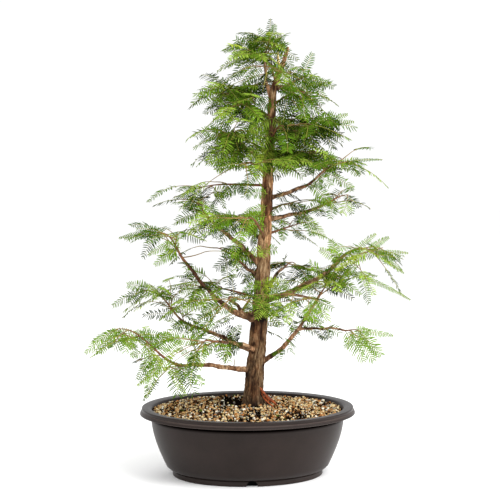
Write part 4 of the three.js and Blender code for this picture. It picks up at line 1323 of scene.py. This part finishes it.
def needles(sprays, seed):
    """Points and quads of all needles of some sprays: two ranks along each rib, shorter to its ends."""
    rng = np.random.default_rng(seed)
    length, pitch = columns(sprays, "length", "pitch")
    count = np.maximum(((length - SPRAY["bare"]) / pitch).astype(int)[:, 0], SPRAY["pairs"])
    which = np.repeat(np.arange(len(sprays)), count)
    order = np.arange(len(which)) - np.repeat(np.cumsum(count) - count, count)
    which, order = np.repeat(which, 2), np.repeat(order, 2)[:, None]
    sign = np.tile([[1.0], [-1.0]], (len(which) // 2, 1))
    s = (SPRAY["bare"] + (order + 0.5) * pitch[which]) / length[which]
    *rib, hang, longest = (rows[which] for rows in columns(sprays, *RIB, "hang", "needle"))
    _, forward, side, _, droop, swerve = rib
    along = unit(forward + (side * swerve - UP * droop) * 2 * s)
    across = without(side, along)
    end = np.clip(s, 0, 1) ** 3
    lean = np.radians(mix(*SPRAY["lean"], end) + rng.normal(0, NEEDLE["lean"], s.shape))
    lift = np.cross(along, across) * rng.normal(*NEEDLE["lift"], s.shape)
    out = across * sign * np.cos(lean) + along * np.sin(lean)
    out = unit(out + lift - UP * hang * NEEDLE["hang"])
    (short, growing), (full, shrinking, least) = NEEDLE["rise"], NEEDLE["fall"]
    profile = np.minimum(short + growing * s, 1) * np.clip(full - shrinking * end, least, 1)
    size = longest * profile * rng.uniform(*NEEDLE["vary"], s.shape)
    points = blades(rib_at(*rib, s), along, out, size, rng)
    quads = np.array([[0, 1, 3, 2], [2, 3, 5, 4], [4, 5, 7, 6]])
    faces = (quads[None] + (np.arange(len(s)) * 8)[:, None, None]).reshape(-1, 4)
    return points, faces


def rachises(sprays):
    s = np.linspace(0, 1, 6)[:, None]
    path = rib_at(*(rows[:, None] for rows in columns(sprays, *RIB)), s)
    thick, thin = SPRAY["rachis"]
    return tubes(path, np.broadcast_to(np.linspace(thick, thin, 6), path.shape[:2]), 3)


def joined_tubes(items, sides):
    paths = np.array([p for p, _ in items])
    radii = np.array([r for _, r in items])
    return tubes(paths, radii, sides)


def tint_of(spray):
    return list(TINTS)[int(np.searchsorted(TINT_STEPS, spray["shade"]))]


def needle_pieces(growth):
    """The needles by tint, in pieces that stay under the limit. Three quads make one needle."""
    for tint, colour in TINTS.items():
        sprays = [s for s in growth.sprays if tint_of(s) == tint]
        masses = sorted({s["mass"] for s in sprays} - {None})
        finish = needle_finish(f"foliage_{tint}", colour)
        points, faces = needles(sprays, 500)
        parts = math.ceil(len(faces) * 2 / MOST_TRIANGLES)
        cuts = np.linspace(0, len(faces), parts + 1).astype(int) // 3 * 3
        for i, (first, last) in enumerate(zip(cuts, cuts[1:])):
            own = faces[first:last]
            low, high = own.min(), own.max() + 1
            name = f"needles_{tint}_{i + 1}"
            add_mesh(name, points[low:high], own - low, finish, "foliage", masses, smooth=False)


def foliage_pieces(growth):
    needle_pieces(growth)
    add_mesh("rachises", *rachises(growth.sprays), twig_finish("rachis_green"), "foliage")
    add_mesh("stems", *joined_tubes(growth.tubes["stem"], 8), twig_finish("young_bark"), "bark")
    add_mesh("twigs", *joined_tubes(growth.tubes["twig"], 5), twig_finish("twig_bark"), "bark")


# ---------------------------------------------------------------- pot

def body_at(z):
    t = (z - FOOT["height"]) / (LIP["under"] - FOOT["height"])
    return mix(BODY["foot"], BODY["shoulder"], np.sin(np.pi / 2 * t))


def rounded(corners):
    """An outline through corners (half length, height, radius), each rounded with an arc of points."""
    made = []
    for i, (x, z, radius) in enumerate(corners):
        here = np.array([x, z], float)
        if not radius or i in (0, len(corners) - 1):
            made.append(here)
            continue
        before, after = (np.array(corners[j][:2], float) - here for j in (i - 1, i + 1))
        a, b = np.linalg.norm(before), np.linalg.norm(after)
        cut = min(radius, 0.45 * a, 0.45 * b)
        for t in np.linspace(0, 1, 5):
            start, end = here + before / a * cut, here + after / b * cut
            made.append(start * (1 - t) ** 2 + 2 * here * t * (1 - t) + end * t**2)
    return np.array(made)


def pot_outline():
    """The wall's outline from under the floor, round the foot and the lip, and back over the floor."""
    inner, outer, foot = FOOT["inner"], FOOT["outer"], FOOT["height"]
    inset, ledge, shoulder, under = GROOVE["inset"], GROOVE["ledge"], BODY["shoulder"], LIP["under"]
    skirt, face, step = LIP["skirt"], LIP["face"], LIP["step"]
    recess = [(0.5, FOOT["recess"], 0), (inner - 8, FOOT["recess"], 0), (inner, FOOT["recess"], 0.6)]
    ring = [
        (inner, 0, 0.8),
        (inner + GROOVE["niche"], 0, 0),
        (outer, 0, 0.8),
        (outer, foot - GROOVE["height"], 0.7),
        (outer - inset, foot - 0.4, 0.5),
        (outer - inset, foot + 0.4, 0.5),
        (outer + ledge, foot + GROOVE["height"], 1.0),
    ]
    belly = [(float(body_at(z)), z, 0) for z in np.linspace(foot + 6, under - 6, 16)]
    neck = [
        (shoulder - 0.4, under - 4.2, 0.6),
        (shoulder - 2.4, under - 3.2, 0.6),
        (shoulder - 2.4, under, 0.8),
    ]
    lip = [
        (skirt - 3, under, 0.6),
        (skirt + 0.5, under + 0.2, 0.6),
        (skirt + 0.4, under + 1.4, 0.5),
        (skirt - 0.3, under + 2, 0.4),
        (skirt - 0.2, step, 0.8),
        (face - 0.9, step + LIP["chamfer"], 0.6),
        (face - 0.5, step + 2.4, 0.5),
        (face, POT_HEIGHT, LIP["round"] + 0.6),
        (LIP["mouth"] + 4, POT_HEIGHT - 0.3, 1.5),
        (LIP["mouth"], POT_HEIGHT - 1.6, 1.8),
    ]
    heights = ((under, 1.0), (48, 0), (FLOOR, 2))
    inside = [(float(body_at(z)) - WALL, z, radius) for z, radius in heights]
    return rounded([*recess, *ring, *belly, *neck, *lip, *inside, (0.5, FLOOR, 0)])


# Steps round the pot, and more of them within some degrees of each notch.
POT_STEPS = {"round": 300, "near": 5.5, "notch": 30}


def pot_piece(material):
    """The oval pot, with a half-round notch through the front and the back of its foot ring."""
    outline, near = pot_outline(), POT_STEPS["near"]
    even = np.linspace(0, 2 * np.pi, POT_STEPS["round"], endpoint=False)
    notch = np.radians(np.linspace(-near, near, POT_STEPS["notch"]))
    angle = np.unique(np.round(np.concatenate([even, notch + np.pi / 2, notch + np.pi * 1.5]), 5))
    half, z = outline[:, 0][:, None], outline[:, 1][:, None]
    depth = np.maximum(half - OVAL, half * (1 - OVAL / FOOT["inner"]))
    depth = np.where(half < FOOT["inner"], depth, half - OVAL)
    x, y = half * np.cos(angle), depth * np.sin(angle)
    z = z + 0 * x
    ring = (half >= FOOT["inner"] + GROOVE["niche"] - 0.01) & (z < FOOT["height"] + GROOVE["height"])
    arch = np.sqrt(np.maximum(NOTCH**2 - x**2, 0))
    order = np.arange(len(outline))[:, None]
    outer = order < np.argmax(outline[:, 1] > LIP["under"])
    z = np.where(ring & outer, np.maximum(z, arch), z)
    points = np.stack([x, y, z], -1)
    steps, sides = x.shape
    faces = grid_faces(steps, sides)[:, ::-1]
    return add_mesh("pot_shell", points, faces, material, "pot_plastic", ["pot"])


# ---------------------------------------------------------------- grit, roots and the cut leader

# Colour of each kind of grain, its share of the open grit and its share of the dark patches.
STONES = {
    "tan": ((186, 146, 98), 0.29, 0.08),
    "cream": ((224, 200, 152), 0.24, 0.06),
    "white": ((244, 236, 216), 0.07, 0.02),
    "grey": ((150, 142, 128), 0.09, 0.05),
    "amber": ((172, 114, 64), 0.09, 0.08),
    "umber": ((78, 52, 32), 0.12, 0.28),
    "soil": ((20, 15, 10), 0.1, 0.4),
    "moss": ((78, 92, 30), 0.01, 0.05),
}
GRAINS = {"pitch": 3.2, "jitter": 0.56, "radius": 1.7, "even": 9, "sunk": 0.2, "uneven": 1.6,
          "missing": 0.9, "stretch": (0.72, 1.25), "flat": 0.85, "chips": (0.82, 1.12), "tip": 0.5}
# The bed's near-black colour is partly soil and partly painted shade in the gaps between the grains.
BED = {"rings": 60, "sides": 160, "under": 3, "uneven": 0.8, "colour": (18, 13, 9)}
# Where damp soil shows: x and y of the middle, half the width and depth, and how dark.
PATCHES = [
    (-24, 62, 26, 52, 1.3),
    (-12, 2, 24, 24, 1.1),
    (28, 50, 16, 46, 0.9),
    (-80, 40, 12, 24, 0.7),
    (-112, -10, 18, 14, 0.6),
    (30, -66, 15, 22, 0.8),
    (78, -68, 22, 22, 0.55),
    (-15, -96, 26, 12, 0.7),
]
# The cut end of an old leader.
CUT = {"height": 602, "azimuth": 226, "slope": 84, "length": 30, "radius": 2.6, "inside": 0.6,
       "wave": (0.5, 7), "blunt": (3.2, 0.12), "taper": 0.3}
# Torn roots at the trunk's foot: their form, then where each leaves the trunk, where it enters the
# grit, and its radius.
ROOT = {"start": 0.45, "swell": 1.8, "taper": 0.25, "sag": 5, "wave": (0.8, 9), "lumps": (0.15, 14)}
ROOTS = [
    ((17, -10, 131), (44, -14, 103), 3.2),
    ((20, -8, 121), (37, -24, 103), 1.8),
]


def grit_height(x, y):
    """Height of the mound at a place."""
    rim = LIP["mouth"] - 3
    out = np.clip(np.hypot(x / rim, y / (rim - OVAL)), 0, 1)
    flat = GRIT["flat"] / rim
    return mix(GRIT["top"], GRIT["edge"], np.clip((out - flat) / (1 - flat), 0, 1) ** 1.15)


def grit_bed(rim):
    """The near-black bed between the grains: dark soil, darkened further as painted shade in the gaps.
    """
    rings, sides = BED["rings"], BED["sides"]
    out, turn = np.meshgrid(np.linspace(0.001, 1, rings), np.arange(sides) / sides, indexing="ij")
    x, y = out * rim * np.cos(2 * np.pi * turn), out * (rim - OVAL) * np.sin(2 * np.pi * turn)
    z = grit_height(x, y) - BED["under"] + BED["uneven"] * noise(turn, out, (60, 26), 8)
    faces = grid_faces(rings, sides)[:, ::-1]
    soil = stone_finish("grit_bed", BED["colour"])
    add_mesh("grit_bed", np.stack([x, y, z], -1), faces, soil, "grit", ["grit"])


def pebble():
    """An icosahedron's corners and triangles."""
    gold = (1 + 5**0.5) / 2
    corners = [(0, a, b * gold) for a in (-1, 1) for b in (-1, 1)]
    corners = np.array([np.roll(c, k) for k in range(3) for c in corners])
    near = np.linalg.norm(corners[:, None] - corners, axis=-1) < 2.1
    triangles = []
    for i, j, k in combinations(range(12), 3):
        if near[i, j] and near[j, k] and near[i, k]:
            out = np.cross(corners[j] - corners[i], corners[k] - corners[i]) @ corners[i]
            triangles.append((i, j, k) if out > 0 else (i, k, j))
    return unit(corners), np.array(triangles)


def grains(place, rng):
    """Corners of the grains at places, each stretched, turned and chipped its own way."""
    count = len(place)
    corners, _ = pebble()
    size = rng.gamma(GRAINS["even"], GRAINS["radius"] / GRAINS["even"], count)
    stretch = rng.uniform(*GRAINS["stretch"], (count, 1, 3)) * [1, 1, GRAINS["flat"]]
    shape = corners[None] * stretch * rng.uniform(*GRAINS["chips"], (count, 12, 1))
    turn, tip = rng.uniform(0, 2 * np.pi, (count, 1)), rng.normal(0, GRAINS["tip"], (count, 1))
    x, y, z = shape[..., 0], shape[..., 1], shape[..., 2]
    x, z = x * np.cos(tip) - z * np.sin(tip), x * np.sin(tip) + z * np.cos(tip)
    x, y = x * np.cos(turn) - y * np.sin(turn), x * np.sin(turn) + y * np.cos(turn)
    uneven = rng.uniform(-GRAINS["uneven"], GRAINS["uneven"], count)
    height = grit_height(place[:, 0], place[:, 1]) - GRAINS["sunk"] + uneven
    middle = np.concatenate([place, height[:, None]], 1)
    return middle[:, None] + np.stack([x, y, z], -1) * size[:, None, None]


def dampness(place, rim):
    """How much damp soil there is at places, from 0 to 1."""
    x, y = place.T
    damp = 0.4 * noise(x / 60 + 10, (y + rim) / (2 * rim), (9, 9), 9)
    for middle_x, middle_y, wide, deep, dark in PATCHES:
        damp += dark * np.exp(-(((x - middle_x) / wide) ** 2) - ((y - middle_y) / deep) ** 2)
    return np.clip(damp, 0, 1)


def grain_places(rim, rng):
    """Where grains lie: a jittered grid inside the rim, off the trunk and thin in the damp patches."""
    pitch, jitter = GRAINS["pitch"], GRAINS["jitter"]
    gx, gy = np.meshgrid(np.arange(-rim, rim, pitch), np.arange(-rim, rim, pitch))
    place = np.stack([gx.ravel(), gy.ravel()], 1)
    place = place + rng.uniform(-jitter, jitter, (gx.size, 2)) * pitch
    inside = np.hypot(place[:, 0] / (rim - 2), place[:, 1] / (rim - 2 - OVAL)) < 1
    centre, radius = trunk_at(GRIT["top"])
    off = np.hypot(*(place - centre[:2]).T) > radius + 1
    place = place[inside & off]
    return place[rng.uniform(0, 1, len(place)) > GRAINS["missing"] * dampness(place, rim) ** 2]


def grit_pieces():
    rng = np.random.default_rng(77)
    rim = LIP["mouth"] - 1.2
    grit_bed(rim)
    place = grain_places(rim, rng)
    points = grains(place, rng)
    shares = np.array([(dry, wet) for _, dry, wet in STONES.values()])
    shares = mix(shares[:, 0], shares[:, 1], dampness(place, rim)[:, None])
    cumulative = np.cumsum(shares / shares.sum(1, keepdims=True), 1)
    kind = (rng.uniform(0, 1, (len(place), 1)) > cumulative).sum(1)
    _, triangles = pebble()
    for i, (name, (colour, _, _)) in enumerate(STONES.items()):
        own = np.flatnonzero(kind == i)
        faces = triangles[None] + (np.arange(len(own)) * 12)[:, None, None]
        finish = stone_finish(f"grit_{name}", colour)
        add_mesh(f"grit_{name}", points[own], faces.reshape(-1, 3), finish, "grit", smooth=False)


def cut_piece():
    """The pale cut end of an old leader beside the trunk's tip."""
    s = np.linspace(0, 1, 10)
    centre, radius = trunk_at(CUT["height"])
    foot = centre + bearing(CUT["azimuth"], 0) * radius * CUT["inside"]
    path = foot + bearing(CUT["azimuth"], CUT["slope"]) * CUT["length"] * s[:, None]
    (size, waves), (slope, end) = CUT["wave"], CUT["blunt"]
    path[:, 0] += size * np.sin(waves * s)
    shape = np.minimum(1.0, slope * (1 - s) + end) * (1 - CUT["taper"] * s)
    leader = joined_tubes([(path, CUT["radius"] * shape)], 10)
    add_mesh("cut_leader", *leader, twig_finish("cut_wood"), "bark")


def roots_piece():
    """Torn, reddish surface roots that run from the trunk into the grit."""
    s = np.linspace(0, 1, 12)
    swell = ROOT["start"] + ROOT["swell"] * s * (1 - s) - ROOT["taper"] * s
    (size, waves), (lump, lumps), items = ROOT["wave"], ROOT["lumps"], []
    for i, (top, foot, radius) in enumerate(ROOTS):
        top, foot = np.array(top, float), np.array(foot, float)
        sag = ROOT["sag"] * np.sin(np.pi * s) * (1 - s)
        path = mix(top, foot, s[:, None]) - UP * sag[:, None]
        path[:, 1] += size * np.sin(waves * s + i)
        items.append((path, radius * swell * (1 + lump * np.sin(lumps * s + 2 * i))))
    add_mesh("torn_roots", *joined_tubes(items, 8), twig_finish("root_bark"), "bark")


# ---------------------------------------------------------------- stage

STUDIO = {"sky": 1.04, "floor": 30, "aim": (0.0, 0.0, 0.35)}
# Each lamp: its place and size in metres, and its power in watts.
LAMPS = {
    "key": ((0.9, -1.3, 1.9), 1.0, 36),
    "side": ((2.0, -0.9, 0.5), 1.0, 20),
    "fill": ((-1.0, -1.6, 1.0), 1.0, 8),
    "rim": ((0.2, 1.6, 1.8), 1.2, 10),
}
CAMERA = {"lens": 79.2, "sensor": 36, "tilt": 87.07, "turn": -4.5}


def light_sky():
    world = bpy.data.worlds.new("studio")
    bpy.context.scene.world = world
    world.use_nodes = True
    back = world.node_tree.nodes["Background"]
    back.inputs["Color"].default_value = (1, 1, 1, 1)
    back.inputs["Strength"].default_value = STUDIO["sky"]


def lay_floor():
    far = STUDIO["floor"]
    mesh = bpy.data.meshes.new("floor")
    corners = [(-far, -far, 0), (far, -far, 0), (far, far, 0), (-far, far, 0)]
    mesh.from_pydata(corners, [], [(0, 1, 2, 3)])
    finish = Finish("floor_pale", 0.9, 0.1)
    finish.colour(finish.levels(finish.noise(3, 2), (0.4, 254), (0.6, 255)))
    mesh.materials.append(finish.made)
    put("floor", mesh)


def hang_lamps():
    for name, (place, size, power) in LAMPS.items():
        light = bpy.data.lights.new(name, "AREA")
        light.size = size
        light.energy = power
        lamp = put(name, light)
        lamp.location = place
        aim = Vector(STUDIO["aim"]) - Vector(place)
        lamp.rotation_euler = aim.to_track_quat("-Z", "Y").to_euler()
        lamp.visible_camera = False


def set_camera():
    view = bpy.data.cameras.new("view")
    view.lens = CAMERA["lens"]
    view.sensor_width = CAMERA["sensor"]
    camera = put("view", view)
    camera.location = EYE * MM
    camera.rotation_euler = (math.radians(CAMERA["tilt"]), 0, math.radians(CAMERA["turn"]))
    bpy.context.scene.camera = camera
    bpy.context.scene.view_settings.view_transform = "Standard"


light_sky()
lay_floor()
hang_lamps()
set_camera()
bark, wood = bark_finish("trunk_bark"), bark_finish("bough_bark")
trunk_piece(bark)
limb_lines = grow_limbs()
boughs_piece(limb_lines, wood)
growth = Growth()
for mass, row in {**MASSES, **crown_masses()}.items():
    growth.add_mass(limb_lines, mass, row)
grow_on_wood(growth, limb_lines)
foliage_pieces(growth)
pot_piece(pot_finish())
grit_pieces()
roots_piece()
cut_piece()
